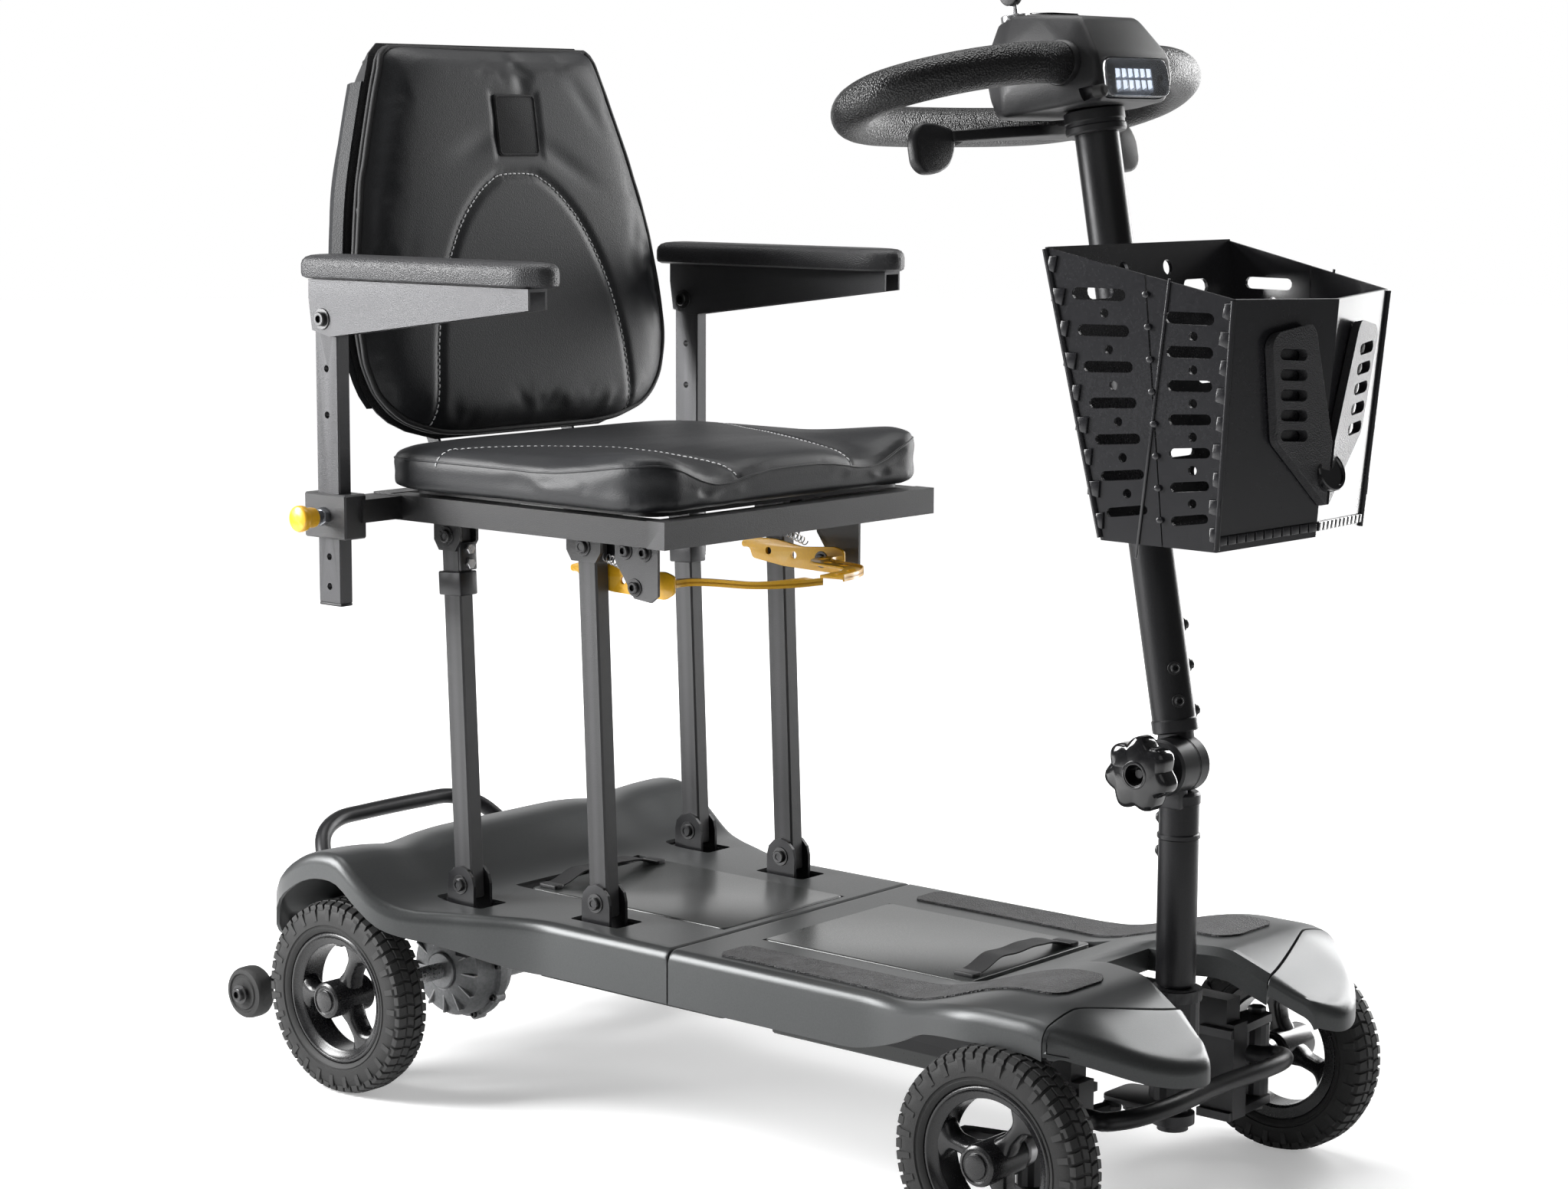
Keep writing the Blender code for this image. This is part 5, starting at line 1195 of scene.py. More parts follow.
def make_head():
    points = []
    for side in (1, -1):
        points += [(side * a, v, w) for a, v, w in (
            (0.044, -0.038, 0.517), (0.055, -0.008, 0.5175), (0.054, 0.05, 0.5195), (0.034, 0.068, 0.5205),
            (0.052, -0.043, 0.53), (0.0575, -0.015, 0.535), (0.0575, 0.044, 0.54), (0.036, 0.074, 0.545),
            (0.051, -0.044, 0.552), (0.056, -0.02, 0.562), (0.053, 0.04, 0.57), (0.034, 0.07, 0.574),
            (0.04, -0.026, 0.5855), (0.043, 0.006, 0.593), (0.034, 0.044, 0.6), (0.026, 0.062, 0.596))]
    shell = hull(points, 0.0045)
    wide, tall = LAMP
    seat = extruded(rounded(rectangle(-wide - 0.001, LAMP_W - tall - 0.0008, wide + 0.001,
                                      LAMP_W + tall + 0.0008),
                            0.011, 6), "Y", -0.08, -0.03)
    port = rod(0.0055, (-0.052, -0.06, 0.5235), (-0.052, -0.026, 0.5235), 20)
    body = combined(shell, [seat, port])
    on_tiller("tiller_shell", body, "plastic", "black_plastic", "tiller_head", edge=0.0006)

    lens_outline = rounded(rectangle(-wide, LAMP_W - tall, wide, LAMP_W + tall), 0.0105, 7)
    lens = extruded(lens_outline, "Y", -0.0455, -0.0425, 0.001, 3)
    on_tiller("headlight_glass", lens, "glass", "lens", "headlight_lens")
    back = extruded(lens_outline, "Y", -0.034, -0.0322)
    wall = combined(extruded(lens_outline, "Y", -0.0424, -0.0322),
                    [extruded([(x * 0.955, LAMP_W + (w - LAMP_W) * 0.9) for x, w in lens_outline], "Y",
                              -0.05, -0.03)])
    on_tiller("headlight_bowl", merged(back, wall), "chrome", "lens")
    ribs = [box((x - 0.0006, -0.0405, LAMP_W - 0.0105), (x + 0.0006, -0.0345, LAMP_W + 0.0105))
            for x in spread(7, -0.024, 0.024)]
    leds = [box((x - 0.0032, -0.04, w - 0.003), (x + 0.0032, -0.035, w + 0.003), 0.0008)
            for x in spread(6, -0.02, 0.02) for w in (LAMP_W - 0.0042, LAMP_W + 0.0042)]
    on_tiller("headlight_leds", merged(*leds), "led", "lens")
    on_tiller("headlight_ribs", merged(*ribs), "chrome", "lens")
    screws = [turned([(0.003, 0), (0.003, 0.0016), (0.0018, 0.0022), (0.0016, 0.0012)], (0, -1, 0),
                     (side * 0.0345, -0.04, LAMP_W), 16) for side, _ in SIDES]
    fasteners("headlight_screws", screws, "tiller", place=TILLER)
    plug = turned([(0.005, 0), (0.005, 0.008), (0.003, 0.0095)], (0, -1, 0), (-0.052, -0.04, 0.5235), 20)
    collar = turned([(0.0228, 0.4985), (0.024, 0.5), (0.024, 0.504), (0.0232, 0.505), (0.0232, 0.5075),
                     (0.024, 0.5085), (0.024, 0.516), (0.021, 0.518)], UPWARDS, ORIGIN, 48)
    on_tiller("neck_collar", collar, "plastic", "black_plastic")
    on_tiller("charge_port", plug, "rubber", "black_plastic")
    gauge = extruded(rounded(rectangle(-0.02, -0.012, 0.02, 0.012), 0.006), "Z",
                     0.0, 0.0012, 0.0004)
    gauge.transform(Matrix.Translation((0, 0.025, 0.5972)) @ Matrix.Rotation(math.radians(10.2), 4, "X"))
    on_tiller("battery_gauge", gauge, "gloss", "gloss_plastic")

    at = middle("ignition_key")
    local = TILLER.inverted() @ at
    bow = extruded(rounded([(0.01 * math.cos(a) + local.y, 0.618 + 0.0105 * math.sin(a))
                            for a in spread(9, math.radians(20), math.radians(380))][:8], 0.006, 4),
                   "X", local.x - 0.004, local.x + 0.004, 0.0012, 3)
    eye = rod(0.0026, (local.x - 0.01, local.y, 0.6235), (local.x + 0.01, local.y, 0.6235), 20)
    stem = box((local.x - 0.0011, local.y - 0.0036, 0.601), (local.x + 0.0011, local.y + 0.0036, 0.612),
               0.0003)
    on_tiller("key_bow", combined(bow, [eye]), "plastic", "black_plastic", "ignition_key", body="key")
    on_tiller("key_blade", stem, "steel", "steel", body="key")
    barrel = turned([(0.0105, 0.594), (0.0105, 0.6), (0.0095, 0.6008), (0.003, 0.6008)], UPWARDS,
                    (local.x, local.y, 0), 28)
    on_tiller("key_barrel", barrel, "steel", "steel")


LOOP = ((0.046, -0.014, 0.5508), (0.078, -0.014, 0.5508), (0.112, -0.0065, 0.55), (0.148, 0.0115, 0.5475),
        (0.175, 0.039, 0.544), (0.1855, 0.067, 0.54), (0.173, 0.1, 0.535), (0.135, 0.1285, 0.5308),
        (0.07, 0.14, 0.5292))


def make_loop():
    path = smooth_path(both_halves(LOOP), 0.006)
    on_tiller("foam_loop", tube(path, 0.016, 28), "foam", "foam_grip", "handle_loop")
    cuffs = []
    for side, _ in SIDES:
        start = Vector((side * 0.052, -0.014, 0.5508))
        way = Vector((side, 0, 0))
        cuffs.append(turned([(0.015, 0.0), (0.0176, 0.001), (0.0176, 0.0075), (0.0168, 0.009)], way, start,
                            32))
    on_tiller("loop_cuffs", merged(*cuffs), "plastic", "black_plastic")


def make_throttle():
    """A plate below the head with a rounded paddle at each end."""
    half = [(0.016, 0.036), (0.05, 0.044), (0.082, 0.055), (0.102, 0.062), (0.104, 0.069), (0.102, 0.074),
            (0.084, 0.07), (0.05, 0.06), (0.016, 0.058)]
    plate = extruded(rounded(both_halves(half), 0.01, 4), "Z", 0.5035, 0.5125, 0.0018, 3)
    blade = rounded([(0.096, 0.5135), (0.099, 0.498), (0.108, 0.485), (0.124, 0.479), (0.141, 0.479),
                     (0.15, 0.486), (0.15, 0.506), (0.141, 0.5185), (0.124, 0.519)], 0.012, 6)
    blades = [extruded([(side * a, b) for a, b in blade], "Y", 0.0632, 0.0728, 0.003, 3) for side in (1, -1)]
    webs = [extruded([(side * 0.07, 0.508), (side * 0.105, 0.508), (side * 0.112, 0.498),
                      (side * 0.098, 0.5)],
                     "Y", 0.064, 0.07, 0.0015) for side in (1, -1)]
    on_tiller("thumb_paddles", merged(plate, *blades, *webs), "plastic", "black_plastic",
              "throttle_paddle", body="throttle")


def make_knob():
    outline = []
    for k in range(112):
        turn = 2 * math.pi * k / 112
        wave = 0.5 + 0.5 * math.cos(7 * turn)
        radius = 0.025 + 0.005 * wave ** 0.7
        outline.append((radius * math.cos(turn), radius * math.sin(turn)))
    sections = []
    for x, shrink in ((-0.0435, 0.8), (-0.044, 0.9), (-0.046, 0.975), (-0.0485, 1.0), (-0.059, 1.0),
                      (-0.0615, 0.975), (-0.0632, 0.9), (-0.064, 0.78)):
        sections.append([(x, a * shrink, b * shrink) for a, b in outline])
    star = combined(loft(sections), [rod(0.0082, (-0.08, 0, 0), (-0.05, 0, 0), 32)])
    boss = turned([(0.012, -0.0455), (0.0125, -0.044), (0.012, -0.03), (0.0112, -0.0288)], ALONG_X, ORIGIN,
                  36)
    ring = turned([(0.0095, -0.0646), (0.0112, -0.0644), (0.0112, -0.063), (0.0082, -0.0628)], ALONG_X,
                  ORIGIN,
                  36, closed=True)
    on_tiller("star_knob", merged(star, boss, ring), "gloss", "gloss_plastic", "hinge_knob",
              body="clamp_knob",
              edge=0.0005)
    end = turned([(0.0042, 0), (0.0042, 0.006), (0.0034, 0.0072)], (-1, 0, 0), (-0.05, 0, 0), 18)
    piece("knob_bolt_end", end, "bolt", "steering", "steel", place=TILLER)


def toothed(radius, inner, low, high, teeth=24):
    """A ring with face teeth, about X."""
    meshes = [turned([(inner, low), (radius, low), (radius, high), (inner, high)], ALONG_X, ORIGIN, 48,
                     closed=True)]
    for k in range(teeth):
        tooth = box((high - 0.0002, -0.0014, radius * 0.62), (high + 0.0008, 0.0014, radius * 0.99),
                    0.0002, 1)
        tooth.transform(Matrix.Rotation(2 * math.pi * k / teeth, 4, "X"))
        meshes.append(tooth)
    return merged(*meshes)


def make_tubes():
    straight = HOME @ Matrix.Translation((0, COLUMN_Y, HINGE_Z))
    shaft = turned([(0.0125, -0.297), (0.0125, -0.284), (0.0118, -0.2835), (0.0118, -0.178), (0.015, -0.178),
                    (0.016, -0.176), (0.016, -0.06), (0.0172, -0.059), (0.0172, -0.056), (0.016, -0.055),
                    (0.016, -0.032), (0.017, -0.031), (0.017, -0.024), (0.015, -0.022)], UPWARDS, ORIGIN, 56)
    neck = box((-0.017, -0.0115, -0.034), (-0.0048, 0.0115, -0.012), 0.002)
    barrel = turned([(0.0205, -0.028), (0.0225, -0.026), (0.0225, -0.0056), (0.0218, -0.0048)], ALONG_X,
                    ORIGIN, 56)
    bolt = rod(0.004, (-0.05, 0, 0), (0.0125, 0, 0), 24)
    nut = turned([(0.007, 0.0103), (0.0078, 0.0108), (0.0078, 0.0138), (0.0068, 0.0145)], ALONG_X, ORIGIN, 6)
    pitman = extruded(rounded([(-0.021, -0.012), (0.021, -0.012), (0.024, 0.03), (0.021, 0.056),
                               (-0.021, 0.056),
                               (-0.024, 0.03)], 0.009), "Z", 0.086 - HINGE_Z, 0.0905 - HINGE_Z, 0.0008)
    foot = turned([(0.015, -0.2925), (0.0175, -0.2915), (0.0175, -0.283), (0.015, -0.282)], UPWARDS,
                  ORIGIN, 40)
    piece("lower_column", merged(shaft, neck, barrel, bolt, nut, pitman, foot), "black", "steering",
          "black_metal",
          "steering_column", place=straight)
    screws = [bolt_head(Vector(way) * 0.016 + Vector((0, 0, z)), way, 0.004, 0.0042)
              for way in (ALONG_X, ALONG_Y) for z in (-0.045, -0.072)]
    fasteners("column_screws", screws, "steering", place=straight)

    upper = turned([(0.017, 0.025), (0.0185, 0.0262), (0.0185, 0.035), (0.0175, 0.0362), (0.0175, 0.5)],
                   UPWARDS, ORIGIN, 56)
    yoke = box((-0.0036, -0.012, 0.01), (0.0088, 0.012, 0.034), 0.002)
    ring = turned([(0.0215, -0.0038), (0.0225, -0.003), (0.0225, 0.008), (0.0208, 0.0094)], ALONG_X,
                  ORIGIN, 56)
    gusset = extruded(rounded([(0.0, -0.02), (0.018, -0.012), (0.026, 0.006), (0.015, 0.042),
                               (0.0, 0.03)], 0.005), "X", 0.004, 0.0086, 0.0008)
    bracket = box((-0.022, -0.026, 0.3), (0.022, -0.012, 0.36), 0.002)
    piece("upper_tube", merged(upper, yoke, ring, gusset, bracket), "black", "tiller", "black_metal",
          "upper_tiller_tube", place=TILLER)
    piece("clutch_teeth", toothed(0.0224, 0.01, -0.0048, -0.0044), "black", "steering", "black_metal",
          place=TILLER)
    screws = [bolt_head((-0.011, -0.0136, w), (-0.6, -0.75, 0), 0.0036, 0.004) for w in (0.05, 0.076)]
    screws += [bolt_head((0.014, -0.0105, w), (0.8, -0.6, 0), 0.0036, 0.004) for w in (0.04, 0.076, 0.108)]
    fasteners("tube_screws", screws, "tiller", place=TILLER)


make_head()
make_loop()
make_throttle()
make_knob()
make_tubes()


# ---- basket ---------------------------------------------------------------------------------------
LOW_RING = ((0.11, -0.0308, 0.1845), (0.1025, -0.1268, 0.1648), (0.0, -0.1494, 0.165))
HIGH_RING = ((0.125, -0.0261, 0.408), (0.11, -0.1754, 0.346), (0.0, -0.1969, 0.3394))
BASKET_WALL = 0.0028


def panel_point(a, b, along, height):
    """A point on a basket wall: along runs from corner a to corner b, height from floor to rim."""
    low = Vector(LOW_RING[a]).lerp(Vector(LOW_RING[b]), along)
    high = Vector(HIGH_RING[a]).lerp(Vector(HIGH_RING[b]), along)
    return low.lerp(high, height)


def wall_frame(a, b, side, along=0.5, height=0.5):
    """Place and axes on a wall: across it, up it, and outwards."""
    here = panel_point(a, b, along, height)
    across = (panel_point(a, b, 1, height) - panel_point(a, b, 0, height)).normalized()
    up = panel_point(a, b, along, 1) - panel_point(a, b, along, 0)
    out = across.cross(up).normalized()
    if out.x < 0:
        out = -out
    up = out.cross(across).normalized()
    if up.z < 0:
        up = -up
    flip = Matrix.Diagonal((side, 1, 1, 1))
    turn = Matrix((across, up, out)).transposed().to_4x4()
    return flip @ Matrix.Translation(here) @ turn


def on_wall(outline, frame, low, high, bevel=0.0):
    """A flat outline on a wall, from low to high along its outward direction."""
    mesh = extruded(outline, "Z", low, high, bevel)
    mesh.transform(frame)
    if frame.determinant() < 0:
        mesh.flip_normals()
    return mesh


def wall_panel(a, b, side, start, stop):
    """One flat basket panel between two shares of a wall, its thickness inwards."""
    corners = [panel_point(a, b, s, h) for s, h in ((start, 0), (stop, 0), (stop, 1), (start, 1))]
    out = (corners[1] - corners[0]).cross(corners[3] - corners[0]).normalized()
    out = -out if out.x < 0 or (abs(out.x) < 0.3 and out.y > 0) else out
    bm = bmesh.new()
    outer = [bm.verts.new((side * p.x, p.y, p.z)) for p in corners]
    inner = [bm.verts.new((side * q.x, q.y, q.z)) for q in [p - out * BASKET_WALL for p in corners]]
    bm.faces.new(outer)
    bm.faces.new(inner[::-1])
    for k in range(4):
        m = (k + 1) % 4
        bm.faces.new((outer[k], inner[k], inner[m], outer[m]))
    return mesh_from(bm)


def make_basket():
    pieces, knuckles = [], []
    rise = math.radians(11.0)
    for side, _ in SIDES:
        for start, stop, length in ((0.0, 0.535, 0.03), (0.545, 1.0, 0.0265)):
            panel = wall_panel(0, 1, side, start, stop)
            mid = (start + stop) / 2
            holes = []
            for k in range(7):
                height = 0.115 + 0.128 * k
                grow = 0.86 + 0.34 * height
                tilted = [(x * math.cos(rise) - y * math.sin(rise), x * math.sin(rise) + y * math.cos(rise))
                          for x, y in capsule(length * grow * 1.32, 0.008 * grow)]
                holes.append(on_wall(tilted, wall_frame(0, 1, side, mid, height), -0.01, 0.01))
                if k < 6:
                    dot = [(0.0036 * math.cos(t), 0.0036 * math.sin(t))
                           for t in spread(17, 0, 2 * math.pi)[:16]]
                    holes.append(on_wall(dot, wall_frame(0, 1, side, mid + 0.02, height + 0.064), -0.01,
                                         0.01))
            pieces.append(combined(panel, holes))
        pieces.append(wall_panel(1, 2, side, 0.0, 1.0))
        for height in spread(8, 0.1, 0.93):
            knuckles.append(on_wall(capsule(0.006, 0.0048), wall_frame(0, 1, side, 0.54, height), 0.0,
                                    0.0024, 0.0008))
        seam = [(-0.0012, -0.112), (0.0012, -0.112), (0.0012, 0.1), (-0.0012, 0.1)]
        knuckles.append(on_wall(seam, wall_frame(0, 1, side, 0.54, 0.5), 0.0, 0.0012, 0.0005))
        for k, height in enumerate(spread(9, 0.07, 0.95)):
            wide = 0.005 if k % 2 else 0.0032
            tab = [(-wide, -0.0052), (wide, -0.0066), (wide, 0.0066), (-wide, 0.0052)]
            for along in (0.975, 0.028):
                knuckles.append(on_wall(tab, wall_frame(0, 1, side, along, height), 0.0, 0.002, 0.0007))
        for along in (1, 0):
            ends = [panel_point(0, 1, along, height) for height in (0.01, 0.995)]
            knuckles.append(tube([Vector((side * p.x, p.y, p.z)) for p in ends], 0.0024, 12))
    back_low, back_high = LOW_RING[0], HIGH_RING[0]
    back = extruded([(back_low[0], back_low[2]), (-back_low[0], back_low[2]), (-back_high[0], back_high[2]),
                     (back_high[0], back_high[2])], "Y", -BASKET_WALL, 0.0)
    back.transform(Matrix.Translation((0, -0.0347, 0)) @ Matrix.Rotation(math.radians(-1.2), 4, "X"))
    cuts = [extruded([(x + cx, y + w) for x, y in capsule(length, 0.011)], "Y", -0.08, 0.02)
            for cx, w, length in ((0.066, 0.372, 0.034), (-0.066, 0.372, 0.034), (0.0, 0.245, 0.06),
                                  (0.066, 0.3, 0.034), (-0.066, 0.3, 0.034))]
    cuts += [rod(0.006, (x, -0.08, w), (x, 0.02, w), 24) for x,
             w in ((0.03, 0.388), (-0.03, 0.388), (0.03, 0.225), (-0.03, 0.225))]
    pieces.append(combined(back, cuts))
    floor_points = [(0.108, -0.0325, 0.185), (0.1012, -0.125, 0.1665), (0.0, -0.147, 0.1665),
                    (-0.1012, -0.125, 0.1665), (-0.108, -0.0325, 0.185)]
    pieces.append(loft([floor_points, [(x, v, w + 0.0035) for x, v, w in floor_points]]))
    pieces.append(loft([[(x * 1.02, v - 0.001, w - 0.0008) for x, v, w in floor_points[1:4]],
                        [(x * 1.02, v - 0.001, w + 0.003) for x, v, w in floor_points[1:4]]]))
    on_tiller("basket_panels", merged(*pieces), "basket", "black_plastic", "basket", body="front_basket",
              edge=0.0006)
    on_tiller("basket_hinges", merged(*knuckles), "basket", "black_plastic", body="front_basket")
    strips = []
    for side, _ in SIDES:
        for along in spread(11, 0.05, 0.95):
            tab = [(-0.0042, -0.0035), (0.0042, -0.0035), (0.0042, 0.0035), (-0.0042, 0.0035)]
            strips.append(on_wall(tab, wall_frame(1, 2, side, along, 0.045), -0.0002, 0.0016, 0.0006))
    on_tiller("bottom_hinge", merged(*strips), "basket", "black_plastic", body="front_basket")
    make_grille()


def make_grille():
    """The raised, grained V on the prow: two arms with five slots each, meeting at a round boss."""
    arms = []
    for side, _ in SIDES:
        outline = rounded([(0.03, 0.316), (0.0355, 0.323), (0.07, 0.319), (0.0752, 0.312), (0.06, 0.24),
                           (0.002, 0.188), (-0.001, 0.188), (-0.001, 0.233), (0.002, 0.235)], 0.004, 4)
        block = extruded([(side * x, w) for x, w in outline], "Y", -0.23, -0.1)
        base = wall_slab(side, 0.0006)
        face = wall_slab(side, 0.0076)
        shaped = combined(combined(block, [face], "INTERSECT"), [base])
        cuts = []
        for k in range(5):
            w = 0.302 - 0.0148 * k
            x = 0.052 - 0.0022 * k
            slot = [(side * (x + a * 0.985), w + b + a * 0.1) for a, b in capsule(0.029, 0.0084)]
            cuts.append(extruded(slot, "Y", -0.24, -0.09))
        arms.append(combined(shaped, cuts))
    on_tiller("grille_arms", merged(*arms), "grained", "black_plastic", "basket_grille", body="front_basket",
              edge=0.0009)
    boss = turned([(0.0148, -0.006), (0.0151, 0.0022), (0.0143, 0.0032), (0.0124, 0.0032), (0.0118, 0.0018),
                   (0.001, 0.0016)], (-0.12, -1, 0.16), (0, -0.169, 0.2125), 48)
    on_tiller("grille_boss", boss, "gloss", "black_plastic", body="front_basket")


def wall_slab(side, out):
    """The space behind the front wall on one side, moved outwards: used to shape the grille."""
    a, b = [panel_point(1, 2, s, -0.3) for s in (-0.4, 1.0)]
    c, d = [panel_point(1, 2, s, 1.3) for s in (1.0, -0.4)]
    normal = (b - a).cross(d - a).normalized()
    normal = -normal if normal.y > 0 else normal
    front = [p + normal * out for p in (a, b, c, d)]
    rear = [p + Vector((0, 0.12, 0)) for p in front]
    return loft([[(side * p.x, p.y, p.z) for p in front], [(side * p.x, p.y, p.z) for p in rear]])


make_basket()


# ---- frame details, levers, drive and fasteners ---------------------------------------------------
LEG_PIVOT_Z = 0.196
LEG_LENGTH = 0.3095
LEG_LEAN = math.radians(2.35)
POST_X, POST_Y = 0.231, -0.0193


def leg_top(y):
    return (y + LEG_LENGTH * math.sin(LEG_LEAN), LEG_PIVOT_Z + LEG_LENGTH * math.cos(LEG_LEAN))


def make_tube_bars():
    bar = [(0.122, 0.112, 0.155), (0.119, 0.126, 0.172), (0.103, 0.147, 0.194), (0.074, 0.159, 0.2045),
           (0.036, 0.161, 0.206)]
    path = smooth_path(both_halves(bar), 0.005)
    piece("grab_bar", tube(path, 0.0075, 24), "black", "chassis", "black_metal", "rear_grab_bar")
    bumper = [(0.0, -0.788, 0.112), (0.07, -0.789, 0.111), (0.106, -0.782, 0.109), (0.122, -0.766, 0.106),
              (0.119, -0.753, 0.104), (0.1185, -0.7415, 0.1035)]
    path = smooth_path([(-x, y, z) for x, y, z in bumper[:0:-1]] + bumper, 0.005)
    piece("bumper_loop", tube(path, 0.0075, 24), "black", "chassis", "black_metal", "front_bumper")


def make_drive():
    """Finned cast gearbox with bolted flanges, its axle noses and the motor above it."""
    at = (-0.06, 0, WHEEL_RADIUS)
    casing = turned([(0.016, -0.03), (0.019, -0.0312), (0.028, -0.029), (0.034, -0.027), (0.041, -0.025),
                     (0.0445, -0.019), (0.0455, -0.012), (0.0455, -0.004), (0.049, -0.003), (0.0495, 0.001),
                     (0.0495, 0.005), (0.0455, 0.0062), (0.044, 0.011), (0.04, 0.02), (0.033, 0.026),
                     (0.022, 0.03)], ALONG_X, at, 64)
    parts = [casing]
    parts.append(rod(0.0215, (-0.04, 0, WHEEL_RADIUS), (0.06, 0, WHEEL_RADIUS), 40, 0.001))
    parts.append(turned([(0.017, 0.0), (0.0185, 0.001), (0.0185, 0.005), (0.017, 0.006), (0.017, 0.032)],
                        ALONG_X,
                        (0.0585, 0, WHEEL_RADIUS), 40))
    parts.append(rod(0.0168, (-0.087, 0, WHEEL_RADIUS), (-0.0938, 0, WHEEL_RADIUS), 40, 0.001))
    parts.append(box((-0.0735, -0.0195, 0.11), (-0.0465, 0.0495, 0.1575), 0.004, 3))
    turns = [2 * math.pi * k / 9 + 0.2 for k in range(9)]
    around = [(0.047 * math.cos(turn), WHEEL_RADIUS + 0.047 * math.sin(turn)) for turn in turns]
    for y, z in around:
        parts.append(turned([(0.0052, -0.005), (0.0052, 0.0066), (0.004, 0.0074)], ALONG_X, (at[0], y, z),
                            14))
    for k in range(12):
        turn = 2 * math.pi * k / 12
        rib = box((at[0] - 0.03, -0.0012, 0.022), (at[0] - 0.009, 0.0012, 0.041), 0.0006, 1)
        rib.transform(Matrix.Translation((0, 0, WHEEL_RADIUS)) @ Matrix.Rotation(turn, 4, "X"))
        parts.append(rib)
    piece("gearbox", merged(*parts), "cast", "chassis", "cast_metal", "transaxle")
    bolts = [turned([(0.0034, 0), (0.0034, 0.002), (0.0028, 0.0026), (0.0016, 0.0026), (0.0015, 0.001)],
                    (-1, 0, 0), (at[0] - 0.0048, y, z), 12) for y, z in around]
    fasteners("gearbox_bolts", bolts, "chassis")
    rings = [turned([(0.0284, x), (0.029, x + 0.0006), (0.029, x + 0.0022), (0.0284, x + 0.0028)], ALONG_X,
                    (-0.006, 0.03, 0.156), 40) for x in (0.006, 0.014, 0.07, 0.078)]
    piece("motor_bands", merged(*rings), "steel", "chassis", "black_metal")


def make_packs():
    """Battery lids with a moulded border and cloth lifting straps."""
    for node, body in (("rear_battery", "rear_pack"), ("front_battery", "front_pack")):
        low, high = near_axle(node)
        lid_top = high.z + 0.0003
        outline = rounded(rectangle(low.x, low.y, high.x, high.y), 0.006)
        case = [(x * 0.955, (low.y + high.y) / 2 + (y - (low.y + high.y) / 2) * 0.965) for x, y in outline]
        parts = [extruded(outline, "Z", lid_top - 0.009, lid_top, 0.0011, 3),
                 extruded(case, "Z", low.z, lid_top - 0.0088, 0.003, 3)]
        piece(f"{node}_case", merged(*parts), "lid", body, "pack_lid", node)
        strap = near_axle(f"{node}_strap")
        y_mid = (strap[0].y + strap[1].y) / 2
        base = strap[0].z
        rows = []
        for x in spread(41, -0.07, 0.07):
            lift = 0.0082 * (1 - smoothstep(0.03, 0.068, abs(x)))
            wave = 0.0005 * math.sin(x * 150)
            ring = []
            for n in range(16):
                a = 2 * math.pi * n / 16
                thick = 0.0011 * squarish(math.sin(a), 0.7)
                ring.append((x, y_mid + 0.0098 * squarish(math.cos(a), 0.4),
                             base + 0.0012 + lift + wave + thick + 0.0006 * math.cos(a * 2)))
            rows.append(ring)
        piece(f"{node}_handle", loft(rows), "webbing", body, "webbing", f"{node}_strap")
        ends = [extruded(rounded([(side * 0.0625, y_mid - 0.0105), (side * 0.0735, y_mid - 0.0105),
                                  (side * 0.0735, y_mid + 0.0105), (side * 0.0625, y_mid + 0.0105)], 0.002),
                         "Z", base - 0.0006, base + 0.003, 0.0008) for side, _ in SIDES]
        piece(f"{node}_anchors", merged(*ends), "plastic", body, "black_plastic")


def make_leg_fasteners():
    low_bolts = []
    for side, word in SIDES:
        for end, (x, y) in LEGS.items():
            low_bolts += bolt_pair((side * x, y, LEG_PIVOT_Z), 0.0115, 0.0058, 0.0042)
            top_y, top_z = leg_top(y)
            bolts = bolt_pair((side * x, top_y, top_z), 0.0115, 0.0056, 0.004)
            if end == "front":
                for ahead in (-0.0125, 0.0125):
                    bolts += bolt_pair((side * x, top_y + ahead, 0.526), 0.0115, 0.005, 0.0036)
            else:
                bolts.append(bolt_head((side * (x - 0.0115), top_y + 0.004, 0.526), (-side, 0, 0), 0.0048,
                                       0.0036))
            fasteners(f"{end}_leg_top_bolts_{word}", bolts, "seat")
        x, y = LEGS["rear"]
        sleeve = combined(box((side * x - 0.0105, -0.0138, 0.257), (side * x + 0.0105, 0.0138, 0.278),
                              0.0012),
                          [box((side * x - 0.0081, -0.0112, 0.2), (side * x + 0.0081, 0.0112, 0.4))])
        strap_plate = box((side * x - 0.0098, -0.015, 0.279), (side * x + 0.0098, -0.0118, 0.304), 0.001)
        tilt = Matrix.Translation((0, y, LEG_PIVOT_Z)) @ Matrix.Rotation(-LEG_LEAN, 4, "X")
        holder = merged(sleeve, strap_plate)
        holder.transform(tilt)
        piece(f"leg_clamp_{word}", holder, "black", f"rear_leg_{word}", "black_metal", edge=0.0004)
        nuts = [turned([(0.0046, 0), (0.005, 0.0006), (0.005, 0.0032), (0.0044, 0.0038)], (0, -1, 0),
                       (side * x, -0.015, z), 6) for z in (0.285, 0.298)]
        for nut in nuts:
            nut.transform(tilt)
        fasteners(f"clamp_nuts_{word}", nuts, f"rear_leg_{word}", "steel")
    fasteners("deck_hinge_bolts", low_bolts, "chassis")


